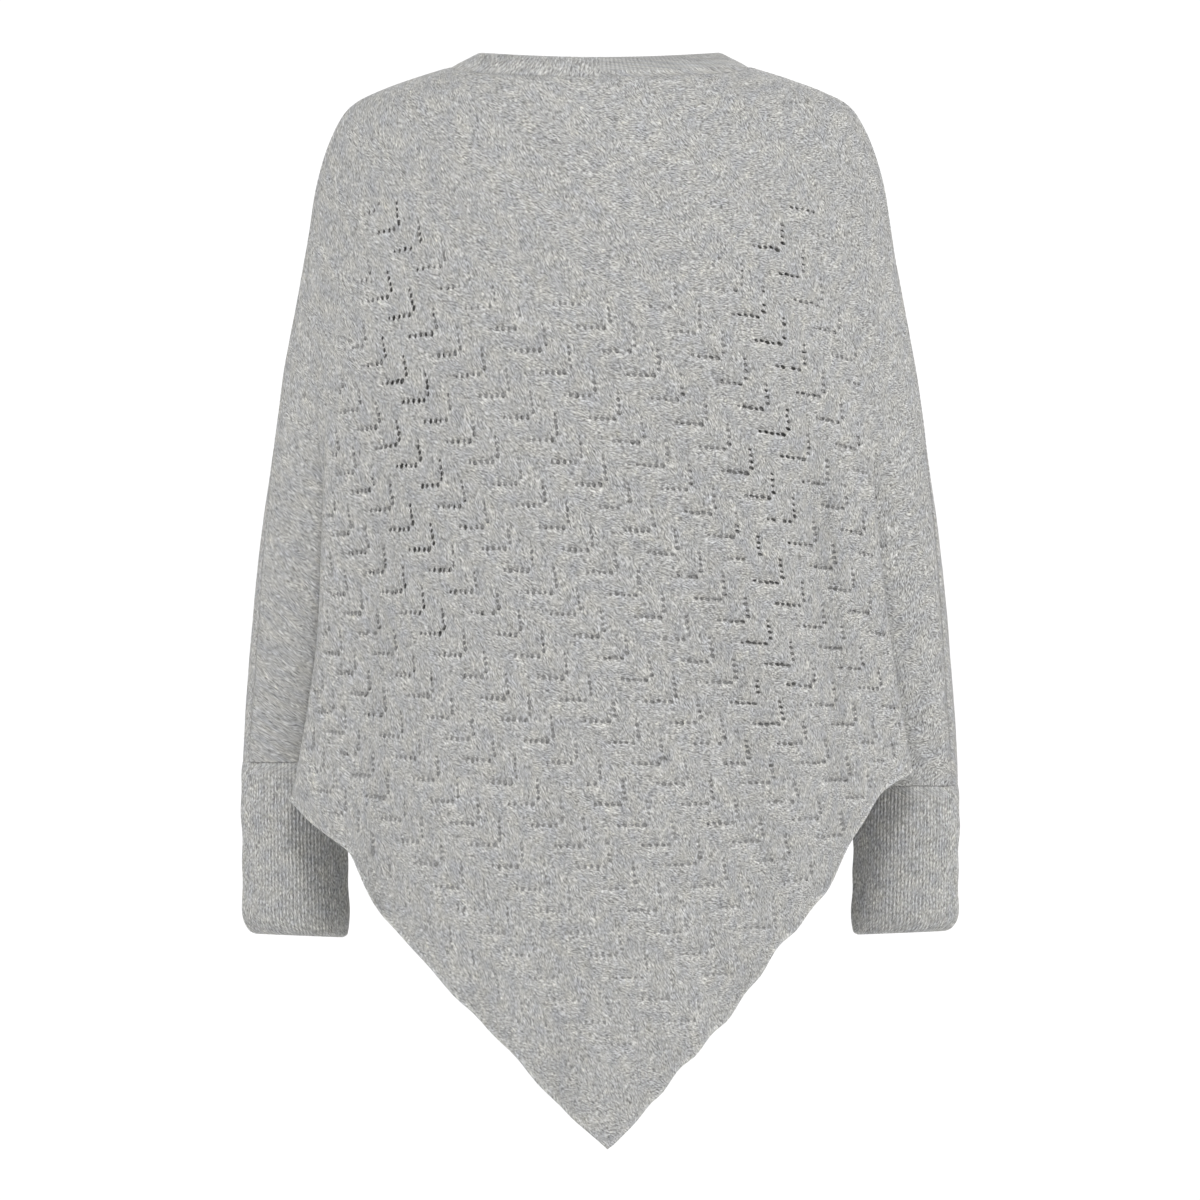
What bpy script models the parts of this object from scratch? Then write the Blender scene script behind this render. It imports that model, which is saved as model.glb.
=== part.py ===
"""Knitted poncho sweater in grey melange wool, holding its worn shape with nobody in it.

Blender 4.5, metres, +Z up. The back faces +Y and the wearer's left is +X. The origin is the
middle of the shoulder line, where the wearer's shoulders carry the sweater. The tables below
are in millimetres. Five pieces: two wide panels with a pointed hem, which also form the
sleeves, a long ribbed cuff on each sleeve, and a ribbed neckband.

Every level of the body is one closed curve round back and front. It is a cubic B-spline on 14
control points a quarter, from the centre line (step 0) over the fold's edge (step 6.5) and its
tuck (step 9.5) to the overarm seam (step 14).
"""

from collections import namedtuple

import bmesh
import bpy
import numpy as np

MM = 0.001
COLLECTION = "knitted_poncho_sweater"

WALL = 2.0  # thickness of the knitted cloth
SEAM_GAP = 0.3  # between two pieces at a seam

# The body by height: seam to centre line, and how far back and front stand from the seam's plane.
Level = namedtuple("Level", "height half_width back front")
LEVELS = (
    Level(24, 82, 51, 40),
    Level(16, 109, 58, 46),
    Level(7, 138, 63, 52),
    Level(-2, 162, 68, 57),
    Level(-10, 178, 72, 61),
    Level(-19, 187, 76, 65),
    Level(-44, 199, 87, 76),
    Level(-73, 207, 96, 87),
    Level(-117, 214, 106, 102),
    Level(-161, 222, 111, 113),
    Level(-204, 230, 113, 120),
    Level(-263, 238, 113, 123),
    Level(-336, 248, 112, 121),
    Level(-409, 255, 112, 119),
    Level(-482, 260, 113, 117),
    Level(-520, 261, 114, 117),
    Level(-780, 261, 118, 117),
)

# The arm's tube under the folds: an oval that ends as the cuff's, met by the tuck at inner_turn
# and by the overarm seam at seam_turn, both in degrees round it from the outer side to the back.
Sleeve = namedtuple("Sleeve", "height half_width half_depth centre_y inner_turn seam_turn")
SLEEVES = (
    Sleeve(-150, 74, 58, 0, 62, 0),
    Sleeve(-226, 68, 54, 0, 70, 6),
    Sleeve(-300, 61, 48, -2, 86, 16),
    Sleeve(-400, 50, 40, -6, 116, 27),
    Sleeve(-455, 42, 32, -8, 142, 30),
    Sleeve(-491, 37, 26, -10, 176, 30),
)
SLEEVE_HEIGHT = {"left": -490.5, "right": -507.5}  # where each cuff is sewn on

# The soft Z-fold of each quarter: where the panel's edge hangs over the sleeve.
Fold = namedtuple("Fold", "height edge_x edge_y")
FOLDS = {
    ("back", "left"): (
        Fold(-190, 190, 64),
        Fold(-226, 193, 63),
        Fold(-300, 200, 60),
        Fold(-397, 205, 51),
        Fold(-460, 214, 43),
        Fold(-519, 225, 37),
    ),
    ("back", "right"): (
        Fold(-190, 187, 64),
        Fold(-226, 190, 63),
        Fold(-304, 199, 60),
        Fold(-378, 208, 53),
        Fold(-445, 218, 43),
        Fold(-498, 227, 38),
    ),
    ("front", "left"): (
        Fold(-190, 190, 66),
        Fold(-300, 197, 66),
        Fold(-400, 203, 64),
        Fold(-510, 214, 58),
    ),
    ("front", "right"): (
        Fold(-190, 188, 66),
        Fold(-290, 196, 66),
        Fold(-390, 205, 63),
        Fold(-500, 217, 57),
    ),
}
FOLD_START, FOLD_FULL = -165, -330  # heights between which the fold opens out of plain cloth
FOLD_GAP = 10.0  # from one layer of a fold to the next

# The pointed hem of each quarter, from the fold's corner to the point on the centre line.
Hem = namedtuple("Hem", "across height")
HEMS = {
    ("back", "left"): (
        Hem(225, -519), Hem(211, -534), Hem(182, -557), Hem(174, -575), Hem(158, -604),
        Hem(118, -649), Hem(73, -696), Hem(38, -737), Hem(0, -772),
    ),
    ("back", "right"): (
        Hem(227, -498), Hem(207, -511), Hem(192, -533), Hem(179, -558), Hem(162, -589),
        Hem(131, -625), Hem(96, -671), Hem(54, -715), Hem(20, -752), Hem(0, -772),
    ),
    ("front", "left"): (
        Hem(214, -510), Hem(196, -530), Hem(172, -556), Hem(148, -592), Hem(110, -638),
        Hem(66, -683), Hem(0, -752),
    ),
    ("front", "right"): (
        Hem(217, -500), Hem(195, -520), Hem(176, -548), Hem(150, -584), Hem(122, -618),
        Hem(88, -661), Hem(0, -752),
    ),
}

# Long soft troughs (depth above 0) and ridges (below 0) that hang down the panels.
Trough = namedtuple("Trough", "panel top_x top bottom_x bottom depth width")
TROUGHS = (
    Trough("back", 150, -230, 158, -600, 7, 17),
    Trough("back", 118, -330, 112, -640, -5, 19),
    Trough("back", -156, -210, -182, -560, 8, 16),
    Trough("back", -100, -400, -118, -640, 6, 17),
    Trough("back", -140, -340, -150, -600, -5, 17),
    Trough("back", 40, -480, 34, -740, 4, 22),
    Trough("front", 148, -240, 160, -590, 7, 18),
    Trough("front", 84, -380, 76, -660, -5, 22),
    Trough("front", -134, -260, -160, -580, 8, 17),
    Trough("front", -66, -420, -60, -690, 5, 20),
)

# The points hang a little to one side: this far at the lowest height, fading to none upwards.
POINT_SWAY = -6.0
SWAY_FROM, SWAY_TO = -600, -770

# Waves of the hem edge, out of the panel's plane: they fade upwards over HEM_WAVE_REACH.
HEM_WAVE = 88.0
HEM_WAVE_DEPTH = 4.5
HEM_WAVE_SLANT = 1.45  # the hem's length for each mm across
HEM_WAVE_REACH = 55.0

# The neckline where the panels end: at the shoulder seam, and how far it drops at the centre.
NECK_HALF_WIDTH = 108.5
NECK_SIDE_HEIGHT = 16.0
NECK_DROP = {"back": 7.0, "front": 76.0}

# The neckband: the ring of its top edge, leaning in from the neckline.
BAND_TOP_HALF_WIDTH = 86.5
BAND_TOP_BACK, BAND_TOP_FRONT = 54.0, -66.0
BAND_TOP_SIDE_HEIGHT = 27.0
BAND_TOP_DROP = {"back": 3.5, "front": 73.0}
BAND_RIBS = 188
BAND_RIB_HEIGHT = 0.8
BAND_BOW = 1.0  # how far the band's middle stands out of a straight lean

# The cuffs below their seam: each ring hangs at x and y from the middle of the sleeve's end.
Ring = namedtuple("Ring", "along half_width half_depth shift_x shift_y")
CUFF_RINGS = (
    Ring(0.00, 37.0, 26.0, 0.0, 0.0),
    Ring(0.50, 37.6, 26.5, -0.6, -2.0),
    Ring(0.82, 37.2, 26.0, -1.2, -3.5),
    Ring(1.00, 34.0, 24.0, -3.8, -4.5),
)
CUFF_BOTTOM = {"left": -617.0, "right": -615.0}
CUFF_RIBS = 88
CUFF_RIB_HEIGHT = 0.7

# The grid of each panel: its columns within a quarter, closer round the fold's two edges and, in
# front, along the neckline's bow and round the arm's outer side.
FOLD_STEPS = (5.5, 6.0, 6.35, 6.65, 7.0, 7.6, 8.3, 8.9, 9.3, 9.6, 9.9)
COLUMN_STEPS = {
    "back": (0, 0.7, 1.4, 2.1, 2.8, 3.5, 4.2, 4.9, *FOLD_STEPS, 10.5, 11.2, 11.9, 12.6, 13.3, 14),
    "front": (
        0, 0.45, 0.9, 1.35, 1.85, 2.5, 3.2, 4.0, 4.8, *FOLD_STEPS,
        10.4, 10.9, 11.4, 11.9, 12.4, 12.9, 13.4, 14,
    ),
}
ROWS = 22
QUARTER = 14
QUARTERS = (("back", "left"), ("front", "left"), ("front", "right"), ("back", "right"))
FOLD_EDGE_STEP, TUCK_STEP = 6.5, 9.6
LOWEST, HIGHEST = -780, 22

# Where the control points of a quarter lie: shares of the panel's width to its fold, and of the
# whole half width where nothing is folded.
PANEL_SHARES = np.array((0, 0.20, 0.40, 0.58, 0.74, 0.88))
OPEN_SHARES = np.array((0.83, 0.85, 0.87, 0.89, 0.91, 0.935, 0.96, 0.985, 1.004))


def along(rows, column, at):
    """A named column read at any place, by a smooth curve that never overshoots its rows."""
    rows = sorted(rows)
    places = np.array([row[0] for row in rows], float)
    values = np.array([getattr(row, column) for row in rows], float)
    steps = np.diff(places)
    slopes = np.diff(values) / steps
    product = slopes[1:] * slopes[:-1]
    total = slopes[1:] + slopes[:-1]
    middle = np.where(product > 0, 2 * product / np.where(total == 0, 1, total), 0)
    tangents = np.concatenate([slopes[:1], middle, slopes[-1:]])
    at = np.clip(np.asarray(at, float), places[0], places[-1])
    i = np.clip(np.searchsorted(places, at, side="right") - 1, 0, len(steps) - 1)
    t = (at - places[i]) / steps[i]
    rise = tangents[i] * steps[i] * t * (1 - t) ** 2
    fall = tangents[i + 1] * steps[i] * t * t * (t - 1)
    return values[i] * (1 + 2 * t) * (1 - t) ** 2 + values[i + 1] * t * t * (3 - 2 * t) + rise + fall


def ease(low, high, value):
    """0 at low, 1 at high, smooth between."""
    t = np.clip((value - low) / (high - low), 0, 1)
    return t * t * (3 - 2 * t)


def fullness(share):
    """Depth of a level, as a share of its centre's, at this share of its half width."""
    return (1 - np.clip(share, 0, 1) ** 2.6) ** 0.714


def oval(sleeve, turn, grown=0.0):
    """A point round the sleeve's oval, or round one that is larger by grown."""
    x = sleeve["centre_x"] + (sleeve["half_width"] + grown) * np.cos(turn)
    y = sleeve["centre_y"] + (sleeve["half_depth"] + grown) * np.sin(turn)
    return x, y


def quarter_polygon(panel, side, heights):
    """Control points of one quarter, (heights, 15, 2): x outwards, y out of the panel."""
    toward = 1 if panel == "back" else -1
    half_width = along(LEVELS, "half_width", heights)
    depth = along(LEVELS, panel, heights)
    edge_x = along(FOLDS[panel, side], "edge_x", heights)
    edge_y = along(FOLDS[panel, side], "edge_y", heights)
    open_fold = ease(FOLD_START, FOLD_FULL, heights)

    # Nothing folded: one full curve from the centre to the seam.
    shares = np.concatenate([PANEL_SHARES * OPEN_SHARES[0], OPEN_SHARES])
    plain = np.stack(
        [half_width[:, None] * shares, depth[:, None] * fullness(shares)], axis=-1
    )

    # Folded: the panel out to its edge, back under itself, then round the sleeve's oval.
    sleeve_heights = heights * SLEEVE_HEIGHT["left"] / SLEEVE_HEIGHT[side]
    sleeve = {
        name: along(SLEEVES, name, sleeve_heights)
        for name in ("half_width", "half_depth", "centre_y")
    }
    sleeve["centre_y"] = toward * sleeve["centre_y"]
    sleeve["centre_x"] = half_width - sleeve["half_width"]
    inner_turn = np.radians(along(SLEEVES, "inner_turn", sleeve_heights))
    seam_turn = np.radians(along(SLEEVES, "seam_turn", sleeve_heights)) * toward

    at_edge = fullness(OPEN_SHARES[0])
    crown = (fullness(PANEL_SHARES * OPEN_SHARES[0]) - at_edge) / (1 - at_edge)
    folded = np.empty_like(plain)
    folded[:, :6, 0] = edge_x[:, None] * PANEL_SHARES
    folded[:, :6, 1] = edge_y[:, None] + (depth - edge_y)[:, None] * crown
    folded[:, 6] = np.stack([edge_x + 1, edge_y], axis=-1)
    folded[:, 7] = np.stack([edge_x + 1, edge_y - FOLD_GAP], axis=-1)
    folded[:, 9] = np.stack(oval(sleeve, inner_turn - 0.15, FOLD_GAP), axis=-1)
    folded[:, 8] = (folded[:, 7] + folded[:, 9]) / 2 + (0, 2)
    step_turn = (seam_turn - inner_turn) / (QUARTER - 10)
    # A B-spline runs inside the corners of an oval's polygon, so the polygon is made larger.
    rounding = 1 / (1 - (1 - np.cos(step_turn)) / 3)
    for step in range(10, QUARTER + 1):
        x, y = oval(sleeve, inner_turn + step_turn * (step - 10))
        x = sleeve["centre_x"] + (x - sleeve["centre_x"]) * rounding
        y = sleeve["centre_y"] + (y - sleeve["centre_y"]) * rounding
        folded[:, step] = np.stack([x, y], axis=-1)
    return plain + (folded - plain) * open_fold[:, None, None]


def level_polygons():
    """Control points of the whole closed curve at each millimetre of height, clockwise from the
    back's centre seen from above."""
    heights = np.arange(LOWEST, HIGHEST + 1, dtype=float)
    quarters = {
        (panel, side): quarter_polygon(panel, side, heights)
        * (1 if side == "left" else -1, 1 if panel == "back" else -1)
        for panel, side in QUARTERS
    }
    halves = []
    for side in ("left", "right"):
        back, front = quarters["back", side], quarters["front", side]
        seam = (back[:, -1:] + front[:, -1:]) / 2
        halves.append(np.concatenate([back[:, :-1], seam, front[:, -2::-1]], axis=1))
    left, right = halves
    return np.concatenate([left, right[:, -2:0:-1]], axis=1)


POLYGONS = level_polygons()
AROUND = POLYGONS.shape[1]


def level_point(step, height):
    """x and y of the closed curve at this step round it and this height."""
    step, height = np.broadcast_arrays(np.asarray(step, float), np.asarray(height, float))
    row = np.clip(height - LOWEST, 0, len(POLYGONS) - 1.001)
    low = row.astype(int)
    up = (row - low)[..., None]
    first = np.floor(step).astype(int)
    t = step - first
    weights = (
        (1 - t) ** 3 / 6,
        (3 * t**3 - 6 * t**2 + 4) / 6,
        (-3 * t**3 + 3 * t**2 + 3 * t + 1) / 6,
        t**3 / 6,
    )
    place = 0
    for k, weight in enumerate(weights):
        column = (first + k - 1) % AROUND
        corner = POLYGONS[low, column] * (1 - up) + POLYGONS[low + 1, column] * up
        place = place + corner * weight[..., None]
    return place[..., 0], place[..., 1]


def quarter_of(step):
    """Number of the quarter, and step within it, of each step round the closed curve."""
    number, within = np.divmod(np.asarray(step, float) % AROUND, QUARTER)
    return number.astype(int), np.where(number % 2 == 0, within, QUARTER - within)


def by_quarter(step, rule):
    """rule(panel, side, chosen) for the steps of each quarter, put together again."""
    number, _ = quarter_of(step)
    found = np.zeros(number.shape)
    for k, (panel, side) in enumerate(QUARTERS):
        chosen = number == k
        if chosen.any():
            found[chosen] = rule(panel, side, chosen)
    return found


def heights_where(steps, line):
    """The height at which each step's column crosses the line(panel, side, x)."""
    low = np.full(steps.shape, float(LOWEST))
    high = np.full(steps.shape, float(HIGHEST))
    for _ in range(36):
        middle = (low + high) / 2
        x = abs(level_point(steps, middle)[0])
        wanted = by_quarter(steps, lambda panel, side, chosen: line(panel, side, x[chosen]))
        above = middle > wanted
        high = np.where(above, middle, high)
        low = np.where(above, low, middle)
    return (low + high) / 2


def neckline(panel, side, x):
    share = np.minimum(x / NECK_HALF_WIDTH, 1)
    return NECK_SIDE_HEIGHT - NECK_DROP[panel] * np.sqrt(1 - share**2)


def hemline(panel, side, x):
    return along(HEMS[panel, side], "height", x)


def column_ends(steps):
    """Top and bottom height of the column of cloth at each step."""
    _, within = quarter_of(steps)
    hem = heights_where(steps, hemline)
    corner = by_quarter(steps, lambda panel, side, _: HEMS[panel, side][0].height)
    sewn = by_quarter(steps, lambda panel, side, _: SLEEVE_HEIGHT[side])
    behind = corner + (sewn - corner) * ease(FOLD_EDGE_STEP, TUCK_STEP, within)
    return heights_where(steps, neckline), np.where(within > FOLD_EDGE_STEP, behind, hem)


def row_place(share):
    """How far down its column a row lies: rows are close over the shoulder and open below."""
    return 0.5 * share**1.9 + 0.5 * share**2 * (3 - 2 * share)


def hang(step, height, bottom):
    """Points of the cloth's middle surface, with its troughs and its hem's waves, in mm."""
    x, y = level_point(step, height)
    number, within = quarter_of(step)
    is_back = (number == 0) | (number == 3)
    toward = np.where(is_back, 1, -1)
    on_panel = 1 - ease(4.4, 5.8, within)
    for trough in TROUGHS:
        share = np.clip((height - trough.top) / (trough.bottom - trough.top), 0, 1)
        middle = trough.top_x + (trough.bottom_x - trough.top_x) * share
        dip = trough.depth * ease(0, 0.35, share) * np.exp(-(((x - middle) / trough.width) ** 2))
        y = y - toward * dip * on_panel * (is_back == (trough.panel == "back"))
    near_hem = np.exp(-(height - bottom) / HEM_WAVE_REACH) * ease(0, 30, abs(x))
    wave = HEM_WAVE_DEPTH * np.sin(2 * np.pi * (abs(x) * HEM_WAVE_SLANT + 20) / HEM_WAVE)
    y = y + wave * near_hem * on_panel
    x = x + POINT_SWAY * ease(-SWAY_FROM, -SWAY_TO, -height)
    return np.stack([x, y, np.broadcast_to(height, x.shape)], axis=-1)


def cloth(steps, shares):
    """Middle points and outward normals of a grid of cloth, (rows, columns, 3), in mm."""
    steps = np.asarray(steps, float)
    top, bottom = column_ends(steps)
    height = top + (bottom - top) * row_place(np.asarray(shares, float))[:, None]
    step = np.broadcast_to(steps, height.shape)
    aside, up = 0.04, 1.5  # a small way along the level, in steps, and upwards, in mm
    sideways = hang(step + aside, height, bottom) - hang(step - aside, height, bottom)
    upwards = hang(step, height + up, bottom) - hang(step, height - up, bottom)
    normal = np.cross(upwards, sideways)
    return hang(step, height, bottom), normal / np.linalg.norm(normal, axis=-1, keepdims=True)


def panel_steps(panel):
    """Steps round the closed curve of a panel's columns, from one overarm seam to the other."""
    out = np.array(COLUMN_STEPS[panel], float)
    half = np.concatenate([-out[:0:-1], out])
    return half if panel == "back" else half + 2 * QUARTER


def pull_in(middles, gap):
    """Draws the four edges of a grid in by this much, square to the edge, for the seams' gaps."""
    middles = middles.copy()
    for edge, inner in (
        ((slice(None), 0), (slice(None), 1)),
        ((slice(None), -1), (slice(None), -2)),
        ((0, slice(None)), (1, slice(None))),
        ((-1, slice(None)), (-2, slice(None))),
    ):
        inward = middles[inner] - middles[edge]
        run = np.gradient(middles[edge], axis=0)
        run /= np.linalg.norm(run, axis=-1, keepdims=True)
        inward -= run * (inward * run).sum(axis=-1, keepdims=True)
        middles[edge] += inward / np.linalg.norm(inward, axis=-1, keepdims=True) * gap
    return middles


def wall_mesh(name, outer, inner, closed):
    """A closed wall between two grids of points in mm, (rows, columns, 3). The inner one may
    have fewer columns, by a whole factor. A closed wall is a tube, and its columns wrap."""
    outer, inner = np.asarray(outer), np.asarray(inner)
    rows, many, few = outer.shape[0], outer.shape[1], inner.shape[1]
    ratio = many // few if closed else 1
    bm = bmesh.new()
    out = [[bm.verts.new(p) for p in row] for row in outer * MM]
    back = [[bm.verts.new(p) for p in row] for row in inner * MM]
    for r in range(rows - 1):
        for c in range(many if closed else many - 1):
            n = (c + 1) % many
            bm.faces.new((out[r][c], out[r + 1][c], out[r + 1][n], out[r][n]))
        for c in range(few if closed else few - 1):
            n = (c + 1) % few
            bm.faces.new((back[r][n], back[r + 1][n], back[r + 1][c], back[r][c]))
    for r, upper in ((0, True), (rows - 1, False)):
        for c in range(few if closed else few - 1):
            n = (c + 1) % few
            rim = [out[r][(c * ratio + k) % many] for k in range(ratio + 1)]
            face = rim + [back[r][n], back[r][c]]
            bm.faces.new(face if upper else face[::-1])
    if not closed:
        for c, left in ((0, True), (many - 1, False)):
            for r in range(rows - 1):
                face = (out[r][c], back[r][c], back[r + 1][c], out[r + 1][c])
                bm.faces.new(face if left else face[::-1])
    bmesh.ops.recalc_face_normals(bm, faces=bm.faces)
    mesh = bpy.data.meshes.new(name)
    bm.to_mesh(mesh)
    bm.free()
    mesh.shade_smooth()
    mesh.set_sharp_from_angle(angle=np.radians(30))
    return mesh


def wool(name, colour):
    material = bpy.data.materials.new(name)
    material.use_nodes = True
    shader = material.node_tree.nodes["Principled BSDF"]
    shader.inputs["Base Color"].default_value = (*colour, 1)
    shader.inputs["Roughness"].default_value = 0.95
    shader.inputs["Metallic"].default_value = 0.0
    return material


def add_piece(collection, name, mesh, material):
    mesh.materials.append(material)
    piece = bpy.data.objects.new(name, mesh)
    collection.objects.link(piece)
    return piece


def panel_wall(panel):
    middles, normals = cloth(panel_steps(panel), np.linspace(0, 1, ROWS + 1))
    middles = pull_in(middles, SEAM_GAP / 2)
    return wall_mesh(
        f"{panel}_panel", middles + normals * WALL / 2, middles - normals * WALL / 2, False
    )


def even_loop(points, *others, count):
    """The closed loop of these points, and what goes with them, at this many even distances."""
    closed = np.concatenate([points, points[:1]])
    run = np.concatenate([[0], np.cumsum(np.linalg.norm(np.diff(closed, axis=0), axis=1))])
    at = np.arange(count) * run[-1] / count
    return [
        np.stack([np.interp(at, run, np.append(part[:, k], part[0, k])) for k in range(3)], -1)
        for part in (points, *others)
    ]


def unit(vectors):
    return vectors / np.linalg.norm(vectors, axis=-1, keepdims=True)


def neckband_wall():
    """The ring of cloth that stands up from the neckline and leans in, ribbed outside."""
    count = BAND_RIBS * 2
    steps = np.concatenate([panel_steps("back")[:-1], panel_steps("front")[:-1]])
    start = np.argmin(abs(steps))
    edge, facing = (part[0] for part in cloth(np.roll(steps, -start), [0.0]))
    base, facing = even_loop(edge, facing, count=count)
    run = np.linspace(0, 2 * np.pi, 4 * count, endpoint=False)
    x, lean = BAND_TOP_HALF_WIDTH * np.sin(run), np.cos(run)
    y = np.where(lean > 0, BAND_TOP_BACK * lean, -BAND_TOP_FRONT * lean)
    drop = np.where(lean > 0, BAND_TOP_DROP["back"] * lean**2, -BAND_TOP_DROP["front"] * lean)
    (top,) = even_loop(np.stack([x, y, BAND_TOP_SIDE_HEIGHT - drop], axis=-1), count=count)
    facing = unit(facing)
    loop = unit(np.roll(base, -1, axis=0) - np.roll(base, 1, axis=0))
    upwards = unit(np.cross(loop, facing))
    base = base + upwards * SEAM_GAP / 2
    band_facing = unit(np.cross(top - base, loop))
    rib = np.where(np.arange(count) % 2, -0.5, 0.5)[:, None] * BAND_RIB_HEIGHT
    middle = (top + base) / 2 + upwards * BAND_BOW
    rows = ((top, band_facing), (middle, band_facing), (base, facing))
    outer = [row + normal * (WALL / 2 + rib) for row, normal in rows]
    inner = [(row - normal * WALL / 2)[::4] for row, normal in rows]
    return wall_mesh("neckband", outer, inner, True)


def cuff_wall(side):
    """The ribbed tube below a sleeve's end, drawn in a little at its lower edge."""
    outwards = 1 if side == "left" else -1
    top = SLEEVE_HEIGHT[side] - SEAM_GAP / 2
    length = top - CUFF_BOTTOM[side]
    half_width = float(along(LEVELS, "half_width", SLEEVE_HEIGHT[side]))
    centre_x = half_width - CUFF_RINGS[0].half_width
    centre_y = SLEEVES[-1].centre_y
    turn = np.arange(CUFF_RIBS * 2) * np.pi / CUFF_RIBS
    rib = np.where(np.arange(CUFF_RIBS * 2) % 2, -0.5, 0.5) * CUFF_RIB_HEIGHT
    outer, inner = [], []
    for ring in CUFF_RINGS:
        for rows, grown, every in ((outer, WALL / 2 + rib, 1), (inner, -WALL / 2 + 0 * rib, 4)):
            x = centre_x + ring.shift_x + (ring.half_width + grown) * np.cos(turn)
            y = centre_y + ring.shift_y + (ring.half_depth + grown) * np.sin(turn)
            z = np.full_like(x, top - length * ring.along)
            rows.append(np.stack([outwards * x, y, z], axis=-1)[::every])
    return wall_mesh(f"cuff_{side}", outer, inner, True)


def main():
    for item in list(bpy.data.objects):
        bpy.data.objects.remove(item, do_unlink=True)
    collection = bpy.data.collections.new(COLLECTION)
    bpy.context.scene.collection.children.link(collection)
    knit = wool("melange_knit", (0.40, 0.40, 0.39))
    rib = wool("melange_rib", (0.37, 0.37, 0.36))
    add_piece(collection, "back_panel", panel_wall("back"), knit)
    add_piece(collection, "front_panel", panel_wall("front"), knit)
    add_piece(collection, "cuff_left", cuff_wall("left"), rib)
    add_piece(collection, "cuff_right", cuff_wall("right"), rib)
    add_piece(collection, "neckband", neckband_wall(), rib)


main()
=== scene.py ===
"""Looks of the knitted poncho sweater: brushed grey melange wool, knitted with lace stairs.

The cloth's surface is that of the solids' source, from the same tables, in millimetres. Here it is
read at a fine grid, with finer creases and with scallops along the hem. The panels get their lace
holes, the cuffs and the neckband their ribs, and everything a nap of short loose fibres. The back
faces +Y and the wearer's left is +X.
"""

from collections import namedtuple

import bpy
import numpy as np
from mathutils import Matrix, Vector
from mathutils.geometry import delaunay_2d_cdt
from mathutils.kdtree import KDTree


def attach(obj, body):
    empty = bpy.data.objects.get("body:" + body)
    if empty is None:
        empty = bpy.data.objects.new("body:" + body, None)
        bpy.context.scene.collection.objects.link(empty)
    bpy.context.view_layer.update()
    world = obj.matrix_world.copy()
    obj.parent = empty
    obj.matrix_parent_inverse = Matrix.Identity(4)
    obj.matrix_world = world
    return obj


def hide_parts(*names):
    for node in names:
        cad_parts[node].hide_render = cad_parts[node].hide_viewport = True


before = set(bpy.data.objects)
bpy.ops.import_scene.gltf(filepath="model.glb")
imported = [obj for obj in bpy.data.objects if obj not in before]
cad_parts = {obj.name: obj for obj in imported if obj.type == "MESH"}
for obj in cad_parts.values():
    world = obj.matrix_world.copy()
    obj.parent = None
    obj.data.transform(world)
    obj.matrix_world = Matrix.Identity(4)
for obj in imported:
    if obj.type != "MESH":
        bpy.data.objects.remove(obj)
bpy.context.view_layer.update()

MM = 0.001
rng = np.random.default_rng(7)

# ---------------------------------------------------------------- the surface of the solids

Level = namedtuple("Level", "height half_width back front")
LEVELS = (
    Level(24, 82, 51, 40),
    Level(16, 109, 58, 46),
    Level(7, 138, 63, 52),
    Level(-2, 162, 68, 57),
    Level(-10, 178, 72, 61),
    Level(-19, 187, 76, 65),
    Level(-44, 199, 87, 76),
    Level(-73, 207, 96, 87),
    Level(-117, 214, 106, 102),
    Level(-161, 222, 111, 113),
    Level(-204, 230, 113, 120),
    Level(-263, 238, 113, 123),
    Level(-336, 248, 112, 121),
    Level(-409, 255, 112, 119),
    Level(-482, 260, 113, 117),
    Level(-520, 261, 114, 117),
    Level(-780, 261, 118, 117),
)

Sleeve = namedtuple("Sleeve", "height half_width half_depth centre_y inner_turn seam_turn")
SLEEVES = (
    Sleeve(-150, 74, 58, 0, 62, 0),
    Sleeve(-226, 68, 54, 0, 70, 6),
    Sleeve(-300, 61, 48, -2, 86, 16),
    Sleeve(-400, 50, 40, -6, 116, 27),
    Sleeve(-455, 42, 32, -8, 142, 30),
    Sleeve(-491, 37, 26, -10, 176, 30),
)
SLEEVE_HEIGHT = {"left": -490.5, "right": -507.5}

Fold = namedtuple("Fold", "height edge_x edge_y")
FOLDS = {
    ("back", "left"): (
        Fold(-190, 190, 64), Fold(-226, 193, 63), Fold(-300, 200, 60),
        Fold(-397, 205, 51), Fold(-460, 214, 43), Fold(-519, 225, 37),
    ),
    ("back", "right"): (
        Fold(-190, 187, 64), Fold(-226, 190, 63), Fold(-304, 199, 60),
        Fold(-378, 208, 53), Fold(-445, 218, 43), Fold(-498, 227, 38),
    ),
    ("front", "left"): (
        Fold(-190, 190, 66), Fold(-300, 197, 66), Fold(-400, 203, 64), Fold(-510, 214, 58),
    ),
    ("front", "right"): (
        Fold(-190, 188, 66), Fold(-290, 196, 66), Fold(-390, 205, 63), Fold(-500, 217, 57),
    ),
}
FOLD_START, FOLD_FULL = -165, -330
FOLD_GAP = 10.0
FOLD_POINTS = 6  # the control point at the fold's edge, from which the cloth turns under
FOLD_WIDTH = 1
TUCK_TURN, TUCK_SHIFT = 0.15, (0, 2)
SLEEVE_POINTS = 10  # the first control point on the sleeve's oval

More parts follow.
